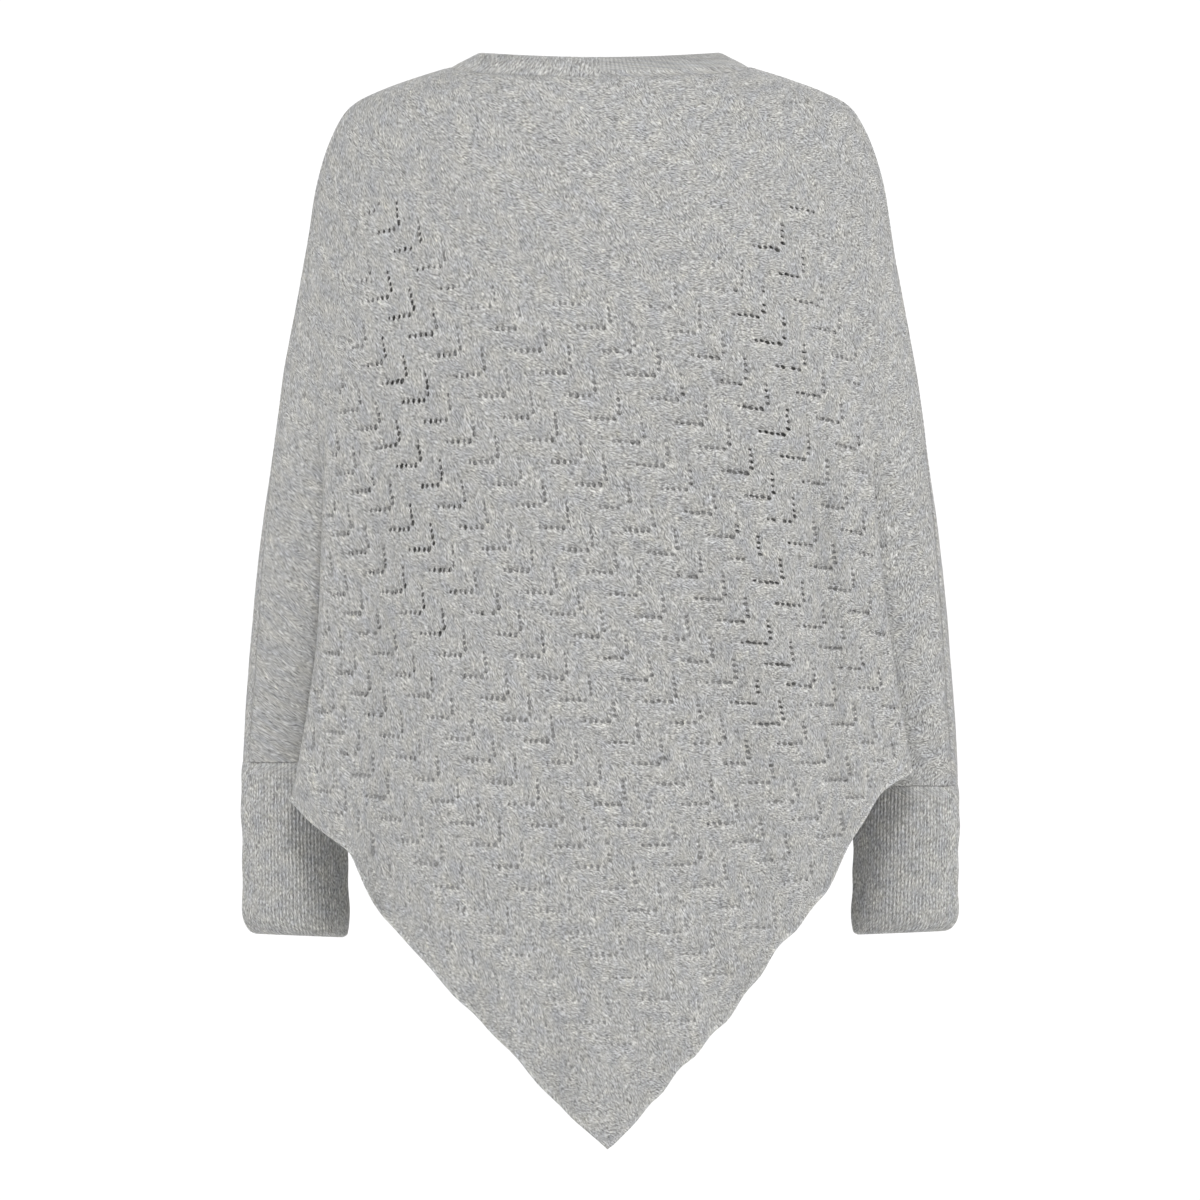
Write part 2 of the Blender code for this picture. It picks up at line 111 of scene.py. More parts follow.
Hem = namedtuple("Hem", "across height")
HEMS = {
    ("back", "left"): (
        Hem(225, -519), Hem(211, -534), Hem(182, -557), Hem(174, -575), Hem(158, -604),
        Hem(118, -649), Hem(73, -696), Hem(38, -737), Hem(0, -772),
    ),
    ("back", "right"): (
        Hem(227, -498), Hem(207, -511), Hem(192, -533), Hem(179, -558), Hem(162, -589),
        Hem(131, -625), Hem(96, -671), Hem(54, -715), Hem(20, -752), Hem(0, -772),
    ),
    ("front", "left"): (
        Hem(214, -510), Hem(196, -530), Hem(172, -556), Hem(148, -592), Hem(110, -638),
        Hem(66, -683), Hem(0, -752),
    ),
    ("front", "right"): (
        Hem(217, -500), Hem(195, -520), Hem(176, -548), Hem(150, -584), Hem(122, -618),
        Hem(88, -661), Hem(0, -752),
    ),
}

Trough = namedtuple("Trough", "top_x top bottom_x bottom depth width")
TROUGHS = {
    "back": (
        Trough(150, -230, 158, -600, 7, 17),
        Trough(118, -330, 112, -640, -5, 19),
        Trough(-156, -210, -182, -560, 8, 16),
        Trough(-100, -400, -118, -640, 6, 17),
        Trough(-140, -340, -150, -600, -5, 17),
        Trough(40, -480, 34, -740, 4, 22),
    ),
    "front": (
        Trough(148, -240, 160, -590, 7, 18),
        Trough(84, -380, 76, -660, -5, 22),
        Trough(-134, -260, -160, -580, 8, 17),
        Trough(-66, -420, -60, -690, 5, 20),
    ),
}
# Finer creases, which only the looks have.
CREASES = {
    "back": (
        Trough(-80, -330, -86, -650, 6.0, 22),
        Trough(152, -60, 140, -190, 2.4, 14),
        Trough(-148, -230, -156, -600, 5.0, 14),
        Trough(-172, -230, -188, -600, -4.5, 13),
        Trough(176, -420, 186, -600, 2.2, 7),
        Trough(-52, -90, -60, -230, 1.8, 14),
        Trough(96, -70, 120, -230, 2.0, 15),
    ),
    "front": (
        Trough(104, -360, 118, -600, 3.4, 12),
        Trough(-160, -300, -172, -560, 2.8, 8),
        Trough(50, -120, 60, -260, 1.8, 14),
    ),
}

TROUGH_LEAD = 0.35  # the share of its length over which a trough deepens
PANEL_FADE = (4.4, 5.8)  # the steps over which troughs and waves fade out

POINT_SWAY = -6.0
SWAY_FROM, SWAY_TO = -600, -770
HEM_WAVE, HEM_WAVE_FIRST = 88.0, 20
HEM_WAVE_DEPTH = 4.5
HEM_WAVE_SLANT = 1.45
HEM_WAVE_REACH = 55.0
HEM_POINT = 30  # how far to its sides the point lies without waves

NECK_HALF_WIDTH = 108.5
NECK_SIDE_HEIGHT = 16.0
NECK_DROP = {"back": 7.0, "front": 76.0}

BAND_TOP_HALF_WIDTH = 86.5
BAND_TOP_BACK, BAND_TOP_FRONT = 54.0, -66.0
BAND_TOP_SIDE_HEIGHT = 27.0
BAND_TOP_DROP = {"back": 3.5, "front": 73.0}
BAND_RIBS = 188

Ring = namedtuple("Ring", "along half_width half_depth shift_x shift_y")
CUFF_RINGS = (
    Ring(0.00, 37.0, 26.0, 0.0, 0.0),
    Ring(0.50, 37.6, 26.5, -0.6, -2.0),
    Ring(0.82, 37.2, 26.0, -1.2, -3.5),
    Ring(1.00, 34.0, 24.0, -3.8, -4.5),
)
CUFF_BOTTOM = {"left": -617.0, "right": -615.0}
CUFF_RIBS = 88

QUARTER = 14
QUARTERS = (("back", "left"), ("front", "left"), ("front", "right"), ("back", "right"))
FOLD_EDGE_STEP, TUCK_STEP = 6.5, 9.6
LOWEST, HIGHEST = -780, 22
PANEL_SHARES = np.array((0, 0.20, 0.40, 0.58, 0.74, 0.88))
OPEN_SHARES = np.array((0.83, 0.85, 0.87, 0.89, 0.91, 0.935, 0.96, 0.985, 1.004))
CROWN_POWER, CROWN_ROOT = 2.6, 0.714
HALVINGS, FINER_HALVINGS = 32, 36


def along(rows, column, at):
    """A named column read at any place, by a smooth curve that never overshoots its rows."""
    rows = sorted(rows)
    places = np.array([row[0] for row in rows], float)
    values = np.array([getattr(row, column) for row in rows], float)
    steps = np.diff(places)
    slopes = np.diff(values) / steps
    product = slopes[1:] * slopes[:-1]
    total = slopes[1:] + slopes[:-1]
    middle = np.where(product > 0, 2 * product / np.where(total == 0, 1, total), 0)
    tangents = np.concatenate([slopes[:1], middle, slopes[-1:]])
    at = np.clip(np.asarray(at, float), places[0], places[-1])
    i = np.clip(np.searchsorted(places, at, side="right") - 1, 0, len(steps) - 1)
    t = (at - places[i]) / steps[i]
    rise = tangents[i] * steps[i] * t * (1 - t) ** 2
    fall = tangents[i + 1] * steps[i] * t * t * (t - 1)
    return values[i] * (1 + 2 * t) * (1 - t) ** 2 + values[i + 1] * t * t * (3 - 2 * t) + rise + fall


def row_at(rows, at):
    """A table read at any place, all its columns as one row."""
    columns = rows[0]._fields[1:]
    return type(rows[0])(at, *(along(rows, column, at) for column in columns))


def ease(low, high, value):
    """0 at low, 1 at high, smooth between."""
    t = np.clip((value - low) / (high - low), 0, 1)
    return t * t * (3 - 2 * t)


def hump(value, middle, width):
    """1 at the middle, falling off to both sides over this width."""
    return np.exp(-(((value - middle) / width) ** 2))


def points_of(*coordinates):
    return np.stack(np.broadcast_arrays(*coordinates), axis=-1)


def lengths(vectors):
    return np.linalg.norm(vectors, axis=-1)


def unit(vectors):
    return vectors / lengths(vectors)[..., None]


def running(parts, axis=0):
    """Running totals along an axis, from 0."""
    totals = np.cumsum(parts, axis=axis)
    return np.concatenate([np.zeros_like(totals.take([0], axis)), totals], axis=axis)


def halving(low, high, is_past, rounds=HALVINGS):
    """The place between low and high from which is_past holds."""
    for _ in range(rounds):
        middle = (low + high) / 2
        past = is_past(middle)
        high = np.where(past, middle, high)
        low = np.where(past, low, middle)
    return (low + high) / 2


def fullness(share):
    """Depth of a level, as a share of its centre's, at this share of its half width."""
    return (1 - np.clip(share, 0, 1) ** CROWN_POWER) ** CROWN_ROOT


def oval(sleeve, centre, turn, grown=0.0):
    """Points round the sleeve's oval, or round one that is larger by grown."""
    aside = (sleeve.half_width + grown) * np.cos(turn)
    return centre + points_of(aside, (sleeve.half_depth + grown) * np.sin(turn))


def quarter_polygon(panel, side, heights):
    """Control points of one quarter, (heights, 15, 2): x outwards, y out of the panel."""
    toward = 1 if panel == "back" else -1
    level = row_at(LEVELS, heights)
    depth = getattr(level, panel)
    fold = row_at(FOLDS[panel, side], heights)
    open_fold = ease(FOLD_START, FOLD_FULL, heights)

    shares = np.concatenate([PANEL_SHARES * OPEN_SHARES[0], OPEN_SHARES])
    plain = points_of(level.half_width[:, None] * shares, depth[:, None] * fullness(shares))

    sleeve = row_at(SLEEVES, heights * SLEEVE_HEIGHT["left"] / SLEEVE_HEIGHT[side])
    centre = points_of(level.half_width - sleeve.half_width, toward * sleeve.centre_y)
    inner_turn = np.radians(sleeve.inner_turn)
    seam_turn = np.radians(sleeve.seam_turn) * toward

    at_edge = fullness(OPEN_SHARES[0])
    crown = (fullness(PANEL_SHARES * OPEN_SHARES[0]) - at_edge) / (1 - at_edge)
    folded = np.empty_like(plain)
    folded[:, :FOLD_POINTS] = points_of(
        fold.edge_x[:, None] * PANEL_SHARES,
        fold.edge_y[:, None] + (depth - fold.edge_y)[:, None] * crown,
    )
    turned = folded[:, FOLD_POINTS:]
    turned[:, 0] = points_of(fold.edge_x + FOLD_WIDTH, fold.edge_y)
    turned[:, 1] = points_of(fold.edge_x + FOLD_WIDTH, fold.edge_y - FOLD_GAP)
    turned[:, 3] = oval(sleeve, centre, inner_turn - TUCK_TURN, FOLD_GAP)
    turned[:, 2] = (turned[:, 1] + turned[:, 3]) / 2 + TUCK_SHIFT
    step_turn = (seam_turn - inner_turn) / (QUARTER - SLEEVE_POINTS)
    rounding = 1 / (1 - (1 - np.cos(step_turn)) / 3)
    for step in range(SLEEVE_POINTS, QUARTER + 1):
        out = oval(sleeve, centre, inner_turn + step_turn * (step - SLEEVE_POINTS)) - centre
        folded[:, step] = centre + out * rounding[:, None]
    return plain + (folded - plain) * open_fold[:, None, None]


def level_polygons():
    """Control points of the whole closed curve at each millimetre of height, clockwise from the
    back's centre seen from above."""
    heights = np.arange(LOWEST, HIGHEST + 1, dtype=float)
    quarters = {
        (panel, side): quarter_polygon(panel, side, heights)
        * (1 if side == "left" else -1, 1 if panel == "back" else -1)
        for panel, side in QUARTERS
    }
    halves = []
    for side in ("left", "right"):
        back, front = quarters["back", side], quarters["front", side]
        seam = (back[:, -1:] + front[:, -1:]) / 2
        halves.append(np.concatenate([back[:, :-1], seam, front[:, -2::-1]], axis=1))
    left, right = halves
    return np.concatenate([left, right[:, -2:0:-1]], axis=1)


POLYGONS = level_polygons()
AROUND = POLYGONS.shape[1]


def level_point(step, height):
    """x and y of the closed curve at this step round it and this height."""
    step, height = np.broadcast_arrays(np.asarray(step, float), np.asarray(height, float))
    row = np.clip(height - LOWEST, 0, len(POLYGONS) - 1.001)
    low = row.astype(int)
    up = (row - low)[..., None]
    first = np.floor(step).astype(int)
    t = step - first
    weights = (
        (1 - t) ** 3 / 6,
        (3 * t**3 - 6 * t**2 + 4) / 6,
        (-3 * t**3 + 3 * t**2 + 3 * t + 1) / 6,
        t**3 / 6,
    )
    place = 0
    for k, weight in enumerate(weights):
        column = (first + k - 1) % AROUND
        corner = POLYGONS[low, column] * (1 - up) + POLYGONS[low + 1, column] * up
        place = place + corner * weight[..., None]
    return place[..., 0], place[..., 1]


def quarter_of(step):
    """Number of the quarter, and step within it, of each step round the closed curve."""
    number, within = np.divmod(np.asarray(step, float) % AROUND, QUARTER)
    return number.astype(int), np.where(number % 2 == 0, within, QUARTER - within)


def by_quarter(step, rule):
    """rule(panel, side, chosen) for the steps of each quarter, put together again."""
    number, _ = quarter_of(step)
    found = np.zeros(number.shape)
    for k, (panel, side) in enumerate(QUARTERS):
        chosen = number == k
        if chosen.any():
            found[chosen] = rule(panel, side, chosen)
    return found


def heights_where(steps, line):
    """The height at which each step's column crosses the line(panel, side, x)."""

    def is_above(height):
        x = abs(level_point(steps, height)[0])
        return height > by_quarter(steps, lambda panel, side, chosen: line(panel, side, x[chosen]))

    return halving(LOWEST, HIGHEST, is_above, FINER_HALVINGS)


def neckline(panel, side, x):
    share = np.minimum(x / NECK_HALF_WIDTH, 1)
    return NECK_SIDE_HEIGHT - NECK_DROP[panel] * np.sqrt(1 - share**2)


def hemline(panel, side, x):
    return along(HEMS[panel, side], "height", x)


def column_ends(steps):
    """Top and bottom height of the column of cloth at each step."""
    _, within = quarter_of(steps)
    hem = heights_where(steps, hemline)
    corner = by_quarter(steps, lambda panel, side, _: HEMS[panel, side][0].height)
    sewn = by_quarter(steps, lambda panel, side, _: SLEEVE_HEIGHT[side])
    behind = corner + (sewn - corner) * ease(FOLD_EDGE_STEP, TUCK_STEP, within)
    return heights_where(steps, neckline), np.where(within > FOLD_EDGE_STEP, behind, hem)


def hang(step, height, bottom):
    """Points of the cloth's middle surface, with its troughs and its hem's waves, in mm."""
    x, y = level_point(step, height)
    number, within = quarter_of(step)
    is_back = (number == 0) | (number == 3)
    toward = np.where(is_back, 1, -1)
    on_panel = 1 - ease(*PANEL_FADE, within)
    for panel in TROUGHS:
        for trough in TROUGHS[panel] + CREASES[panel]:
            share = np.clip((height - trough.top) / (trough.bottom - trough.top), 0, 1)
            middle = trough.top_x + (trough.bottom_x - trough.top_x) * share
            dip = trough.depth * ease(0, TROUGH_LEAD, share) * hump(x, middle, trough.width)
            y = y - toward * dip * on_panel * (is_back == (panel == "back"))
    near_hem = np.exp(-(height - bottom) / HEM_WAVE_REACH) * ease(0, HEM_POINT, abs(x))
    wave = np.sin(2 * np.pi * (abs(x) * HEM_WAVE_SLANT + HEM_WAVE_FIRST) / HEM_WAVE)
    y = y + HEM_WAVE_DEPTH * wave * near_hem * on_panel
    x = x + POINT_SWAY * ease(-SWAY_FROM, -SWAY_TO, -height)
    return points_of(x, y, height)


def facing(step, height, bottom):
    """Outward normals of the cloth."""
    aside, up = 0.04, 1.5
    sideways = hang(step + aside, height, bottom) - hang(step - aside, height, bottom)
    upwards = hang(step, height + up, bottom) - hang(step, height - up, bottom)
    return unit(np.cross(upwards, sideways))


# ---------------------------------------------------------------- the panels, at a fine grid

HALF_WALL = 0.95  # half the thickness of the knitted cloth
POINT_SPACING = 4.9
FINE_SPACING = 2.2  # across the two edges of each Z-fold
FINE_STEPS = ((5.7, 7.5), (9.0, 10.2))
HEM_ROWS = (1.1, 2.4, 4.0, 6.0)  # distances from the hem's edge of its own rows of points
ARC_ROWS = 300
ARC_STEPS = 281
LEVEL_SPACING = 4
SCALLOP, SCALLOP_APART, SCALLOP_FIRST, SCALLOP_LIFT = 1.7, 25.5, 40, 1.3
SCALLOP_INNER, SCALLOP_OUTER = (14, 40), (215, 185)  # where they fade out, on both sides
LEFT_LIFT, LEFT_LIFT_X, LEFT_LIFT_WIDTH = 4.5, 139, 17
LEFT_RIPPLE, LEFT_RIPPLE_LENGTH = 0.7, 4.6

# The lace: stairs of holes, charted on the panel as seen from outside, x to the right.
Chart = namedtuple("Chart", "right down")
STAIR = Chart(15.7, 16.4)  # from one tread to the next
STAIRS_APART = 4  # stairs to the side, in treads
FIRST = Chart(-120.9, 7.4)
HOLE_PITCH = Chart(4.46, 4.63)
TREAD_HOLES = 5
RISER_HOLES = 4
LACE_REACH, LACE_DROP = Chart(300, 350), 90
LACE_EDGE = 6.05  # the step up to which the lace is open
SLEEVE_LACE = (10.5, 13.5)  # the steps between which it shows on the sleeves, nearly closed
LEAN_PEAK = 14.0
PLAIN_LEAN, SLEEVE_CALM = 0.85, 0.3  # the sleeves' stitches lean nearer to the plain cloth's
CALM_STEPS = (5.6, 6.5)
# How the chart hangs: millimetres of pull at one span from its middle, right and down.
SPAN = 150.0
CHART_MIDDLE = -5.3
CHART_HEIGHT = -281.0
CLOTH_SPAN = Chart(148.3, 147.6)  # a span of the chart across and down the hanging cloth
WALE_LEAN = 18.0  # the wales lean to the right on their way down
WALE_GATHER = 6.5  # and gather towards the middle
WALE_SPREAD = 5.5  # but less so low down
WALE_BOW = 3.6
EDGE_GATHER = 4.5
COURSE_ARCH = 6.9  # the courses arch up to the middle
COURSE_FLATTEN = 6.1  # less so low down
COURSE_TILT = 4.9  # and fall to the right
COURSE_TWIST = Chart(2.7, 3.6)
COURSE_CLOSE = 3.3  # and lie closer low down
PULL_LIMIT = (-1.2, 2.0)  # the spans down between which the pull changes
HOLE = Chart(1.15, 1.95)  # half sizes of a hole, whose long axis leans like a backslash
HOLE_LEAN = np.radians(28)
CORNER_HOLE = 1.12  # those at the corner of tread and riser are larger by this
HOLE_ROUNDER = 0.28  # the closed ones are wider by this
HOLE_SIZE, OPEN_LARGER, HOLE_VARIES = 0.95, 0.17, (0.80, 1.1)
LOW_SMALLER, LOW_HEIGHTS = 0.30, (-540, -680)  # towards the point
HIGH_SMALLER, HIGH_HEIGHTS = 0.40, (-200, -100)  # towards the neck, outside the open bands
LAST_SMALLER, RISER_SMALLER, SLEEVE_SMALLER = 0.8, 0.92, 0.5
SMALLEST_HOLE = 0.28
TREADS, STAIRS = 60, 24  # tried to both sides of the first
HOLE_JITTER = 0.22
MADE_CHANCE, SLEEVE_CHANCE = 0.97, 0.45
LACE_TOP, LACE_TOP_ARCH, LACE_TOP_HALF_WIDTH = -82, 68, 138
FRONT_LOWER = 50  # how much lower the front's lace begins
HEM_MARGIN, HEM_MARGIN_VARIES = 12, 10
# The bands beside the middle where the lace is pulled open: how far along the cloth from its
# centre line at the top, how fast it shifts on its way down, and where it ends.
OpenBand = namedtuple("OpenBand", "run lean bottom")
OPEN_BANDS = (OpenBand(-150, 0.09, -410), OpenBand(131, -0.02, -490))
OPEN_TOP, OPEN_WIDTH, OPEN_FADE = -100, 30, 70
OPEN_STRENGTH = 1.2  # of what this does to the holes' shapes and to the fibres across them


def scallops(x):
    """How far the back's hem stands above its smooth line, as seen on each side."""
    right = SCALLOP_LIFT - SCALLOP * np.cos(2 * np.pi * (-x - SCALLOP_FIRST) / SCALLOP_APART)
    right = right * ease(*SCALLOP_INNER, -x) * ease(*SCALLOP_OUTER, -x)
    ripple = LEFT_RIPPLE * np.sin(x / LEFT_RIPPLE_LENGTH)
    left = LEFT_LIFT * hump(x, LEFT_LIFT_X, LEFT_LIFT_WIDTH)
    left = left + ripple * ease(*SCALLOP_INNER, x) * ease(*SCALLOP_OUTER, x)
    return np.where(x < 0, right, left)


class Panel:
    """One panel's cloth by step (within it, -14 to 14) and share of its column's length."""

    def __init__(self, name):
        self.name = name
        self.first_step = 0 if name == "back" else 2 * QUARTER
        self.steps = np.linspace(-QUARTER, QUARTER, ARC_STEPS)
        around = self.steps + self.first_step
        top, self.bottom = column_ends(around)
        if name == "back":
            x = level_point(self.steps, self.bottom)[0]
            self.bottom = self.bottom + scallops(x) * (abs(self.steps) < FOLD_EDGE_STEP)
        height = top + (self.bottom - top) * np.linspace(0, 1, 2 * ARC_ROWS + 1)[:, None]
        run = running(lengths(np.diff(hang(around, height, self.bottom), axis=0)))
        self.length = run[-1]
        shares = np.linspace(0, 1, ARC_ROWS + 1)
        heights = [
            np.interp(shares * self.length[k], run[:, k], height[:, k]) for k in range(ARC_STEPS)
        ]
        self.heights = np.stack(heights, axis=1)
        grid = hang(around, self.heights, self.bottom)
        across = running(lengths(np.diff(grid, axis=1)), axis=1)
        self.across = across - across[:, ARC_STEPS // 2][:, None]
        # The flat place of each step, and the plain rectangle that the points are laid out in.
        self.flat_across = self.across[ARC_ROWS // 3 :: ARC_ROWS // 6].mean(axis=0)
        self.flat_length = float(np.mean(self.length))
        corner = grid[:-1, :-1]
        self.cells = lengths(np.cross(grid[1:, :-1] - corner, grid[:-1, 1:] - corner))
        self.area = float(self.cells.sum())
        # Distance along each level from the centre line, to the right as seen from outside.
        self.levels = np.arange(LOWEST, HIGHEST + LEVEL_SPACING, LEVEL_SPACING, dtype=float)
        x, y = level_point(around, self.levels[:, None])
        run = running(np.hypot(np.diff(x), np.diff(y)), axis=1)
        self.level_run = run[:, ARC_STEPS // 2][:, None] - run

    def read(self, table, step, share):
        """A table over steps and evenly spaced shares, read between its points."""
        last = len(table) - 1
        row = np.clip(share * last, 0, last - 1e-6)
        column = np.clip((step + QUARTER) / (2 * QUARTER) * (ARC_STEPS - 1), 0, ARC_STEPS - 1 - 1e-6)
        r, c = row.astype(int), column.astype(int)
        v, u = row - r, column - c
        left = table[r, c] * (1 - v) * (1 - u) + table[r + 1, c] * v * (1 - u)
        return left + table[r, c + 1] * (1 - v) * u + table[r + 1, c + 1] * v * u

    def point(self, step, share):
        height = self.read(self.heights, step, share)
        bottom = np.interp(step, self.steps, self.bottom)
        around = step + self.first_step
        return hang(around, height, bottom), facing(around, height, bottom)

    def slopes(self, step, share):
        """How the point moves for a step, and for a share, there."""
        aside, on = 0.02, 0.002
        low, high = np.clip(share - on, 0, 1), np.clip(share + on, 0, 1)
        by_step = self.point(step + aside, share)[0] - self.point(step - aside, share)[0]
        by_step = by_step / (2 * aside)
        by_share = (self.point(step, high)[0] - self.point(step, low)[0]) / (high - low)[:, None]
        return by_step, by_share

    def laid_out(self, step, share):
        across = np.interp(step, self.steps, self.flat_across)
        return points_of(across, share * self.flat_length)

    def from_layout(self, flat):
        step = np.interp(flat[:, 0], self.flat_across, self.steps)
        return step, np.clip(flat[:, 1] / self.flat_length, 0, 1)

    def cloth_place(self, step, share):
        """Where a point lies on the flat cloth, in metres, for the materials."""
        length = np.interp(step, self.steps, self.length)
        return points_of(-self.read(self.across, step, share), share * length) * MM

    def run_at(self, step, height):
        """Distance along the cloth's level from the centre line, to the right."""
        share = (height - self.levels[0]) / (self.levels[-1] - self.levels[0])
        return self.read(self.level_run, step, share)

    def find(self, run, height):
        """Step and share of the point this far to the right of the centre line at this height."""
        step = halving(-QUARTER, QUARTER, lambda step: self.run_at(step, height) < run)
        return step, halving(0, 1, lambda share: self.read(self.heights, step, share) < height)


def as_hung(right, down):
    """How far along the cloth from the centre line, and at what height, a place of the chart
    hangs: the wales lean and gather, the courses arch."""
    r, d = right / SPAN, down / SPAN
    low = np.clip(d, *PULL_LIMIT)
    run = CHART_MIDDLE + CLOTH_SPAN.right * r + WALE_LEAN * d + WALE_BOW * r**2
    run = run - WALE_GATHER * r * low + WALE_SPREAD * r * low**2 - EDGE_GATHER * r**3
    height = CHART_HEIGHT - CLOTH_SPAN.down * d - COURSE_TILT * r - COURSE_ARCH * r**2
    height = height + COURSE_FLATTEN * r**2 * low + COURSE_CLOSE * low**2
    height = height - COURSE_TWIST.right * r * low + COURSE_TWIST.down * r * low**2
    return run, height


def chart_of(panel, step, height):
    """Where points of the panel lie on the lace's chart."""
    wanted = panel.run_at(step, height)
    right, down = wanted, CHART_HEIGHT - height
    for _ in range(6):
        run, hung = as_hung(right, down)
        right, down = right + wanted - run, down + hung - height
    return right, down


def lean_of(panel, step, places):
    """1 where the lace pulls the stitches steep, just right of a stair, and 0 left of the next."""
    right, down = chart_of(panel, step, places[:, 2])
    past_stair = right - FIRST.right - (down - FIRST.down) * STAIR.right / STAIR.down
    lean = 0.5 + 0.5 * np.cos(2 * np.pi * (past_stair - LEAN_PEAK) / (STAIR.right * STAIRS_APART))
    inside = 1 - SLEEVE_CALM * ease(*CALM_STEPS, abs(step))
    return PLAIN_LEAN + (lean - PLAIN_LEAN) * inside


def open_lace(run, height):
    """1 in the two bands beside the middle where the lace is pulled open, 0 away from them."""
    opened = 0
    for band in OPEN_BANDS:
        middle = band.run + band.lean * (OPEN_TOP - height)
        above = ease(band.bottom - OPEN_FADE, band.bottom + OPEN_FADE, height)
        opened = opened + hump(run, middle, OPEN_WIDTH) * above
    return opened


def openness(panel, step, share):
    """How far the lace is pulled open at points of the panel, up to 1."""
    height = panel.read(panel.heights, step, share)
    return np.minimum(OPEN_STRENGTH * open_lace(panel.run_at(step, height), height), 1)


def lace_holes(panel):
    """Step, share and size of each hole."""
    rows = []
    for tread in range(-TREADS, TREADS + 1):
        for stair in range(-STAIRS, STAIRS + 1):
            right = FIRST.right + STAIR.right * (tread + STAIRS_APART * stair)
            down = FIRST.down + STAIR.down * tread
            if abs(right) > LACE_REACH.right or abs(down - LACE_DROP) > LACE_REACH.down:
                continue
            for k in range(TREAD_HOLES):
                rows.append((right - HOLE_PITCH.right * k, down, k, 0))
            for k in range(1, RISER_HOLES + 1):
                rows.append((right + HOLE_PITCH.right, down - HOLE_PITCH.down * k, k, 1))
    right, down, order, is_riser = np.array(rows, float).T
    is_riser = is_riser > 0
    right = right + rng.normal(0, HOLE_JITTER, right.shape)
    down = down + rng.normal(0, HOLE_JITTER, down.shape)

    run, height = as_hung(right, down)
    step, share = panel.find(run, height)

    top = LACE_TOP - LACE_TOP_ARCH * np.clip(1 - (run / LACE_TOP_HALF_WIDTH) ** 2, 0, 1)
    if panel.name == "front":
        top = top - FRONT_LOWER
    hem = np.interp(step, panel.steps, panel.bottom)
    chance = rng.random(run.shape)
    on_sleeve = (abs(step) > SLEEVE_LACE[0]) & (abs(step) < SLEEVE_LACE[1])
    on_sleeve &= chance < SLEEVE_CHANCE
    keep = ((abs(step) < LACE_EDGE) & (chance < MADE_CHANCE)) | on_sleeve
    keep &= (height < top) & (height > hem + HEM_MARGIN + HEM_MARGIN_VARIES * rng.random(run.shape))
    opened = open_lace(run, height)
    closed = 1 - np.minimum(opened, 1)
    size = HOLE_SIZE + OPEN_LARGER * opened
    size = size * (1 - LOW_SMALLER * ease(*LOW_HEIGHTS, height))
    size = size * (1 - HIGH_SMALLER * closed * ease(*HIGH_HEIGHTS, height))
    size = size * rng.uniform(*HOLE_VARIES, run.shape)
    size = size * np.where(order == TREAD_HOLES - 1, LAST_SMALLER, 1)
    size = size * np.where((order == 0) | (is_riser & (order == 1)), CORNER_HOLE, 1)
    size = np.where(is_riser, RISER_SMALLER, 1) * np.where(on_sleeve, SLEEVE_SMALLER, 1) * size
    return step[keep], share[keep], size[keep]


HOLE_CORNERS = 8
CORNER_VARIES = (0.88, 1.12)
BACKED_MARGIN = 6  # how far above the other panel's hem a hole lies at least
AROUND_HOLE, BENEATH_NECK = 1.5, 2.5  # where no other points lie
ABOVE_HEM_ROWS, BESIDE_SEAM = 0.6, 1.4  # the same, in spacings


def backed(holes, panel, other):
    """The holes that have the other panel's cloth behind them."""
    step, share, size = holes
    x, _, z = panel.point(step, share)[0].T
    open_side = abs(other.steps) < FOLD_EDGE_STEP
    rim = hang(other.steps + other.first_step, other.bottom, other.bottom)[open_side]
    order = np.argsort(rim[:, 0])
    keep = z > np.interp(x, rim[order, 0], rim[order, 2]) + BACKED_MARGIN
    return step[keep], share[keep], size[keep]


def tree_of(places):
    tree = KDTree(len(places))
    for k, place in enumerate(places):
        tree.insert(place, k)
    tree.balance()
    return tree


def clear_of(panel, holes, others):
    """Holes that no straight view from behind goes through: those in line with one of the other
    panel's are drawn small or closed."""
    step, share, size = holes
    other_places, other_size = others
    flattened = (1, 0, 1)
    tree = tree_of(other_places * flattened)
    room = []
    for place in panel.point(step, share)[0] * flattened:
        _, k, distance = tree.find(place)
        room.append((distance - HOLE.down * other_size[k]) / HOLE.down)
    size = np.minimum(size, np.array(room))
    keep = size > SMALLEST_HOLE
    return step[keep], share[keep], size[keep]


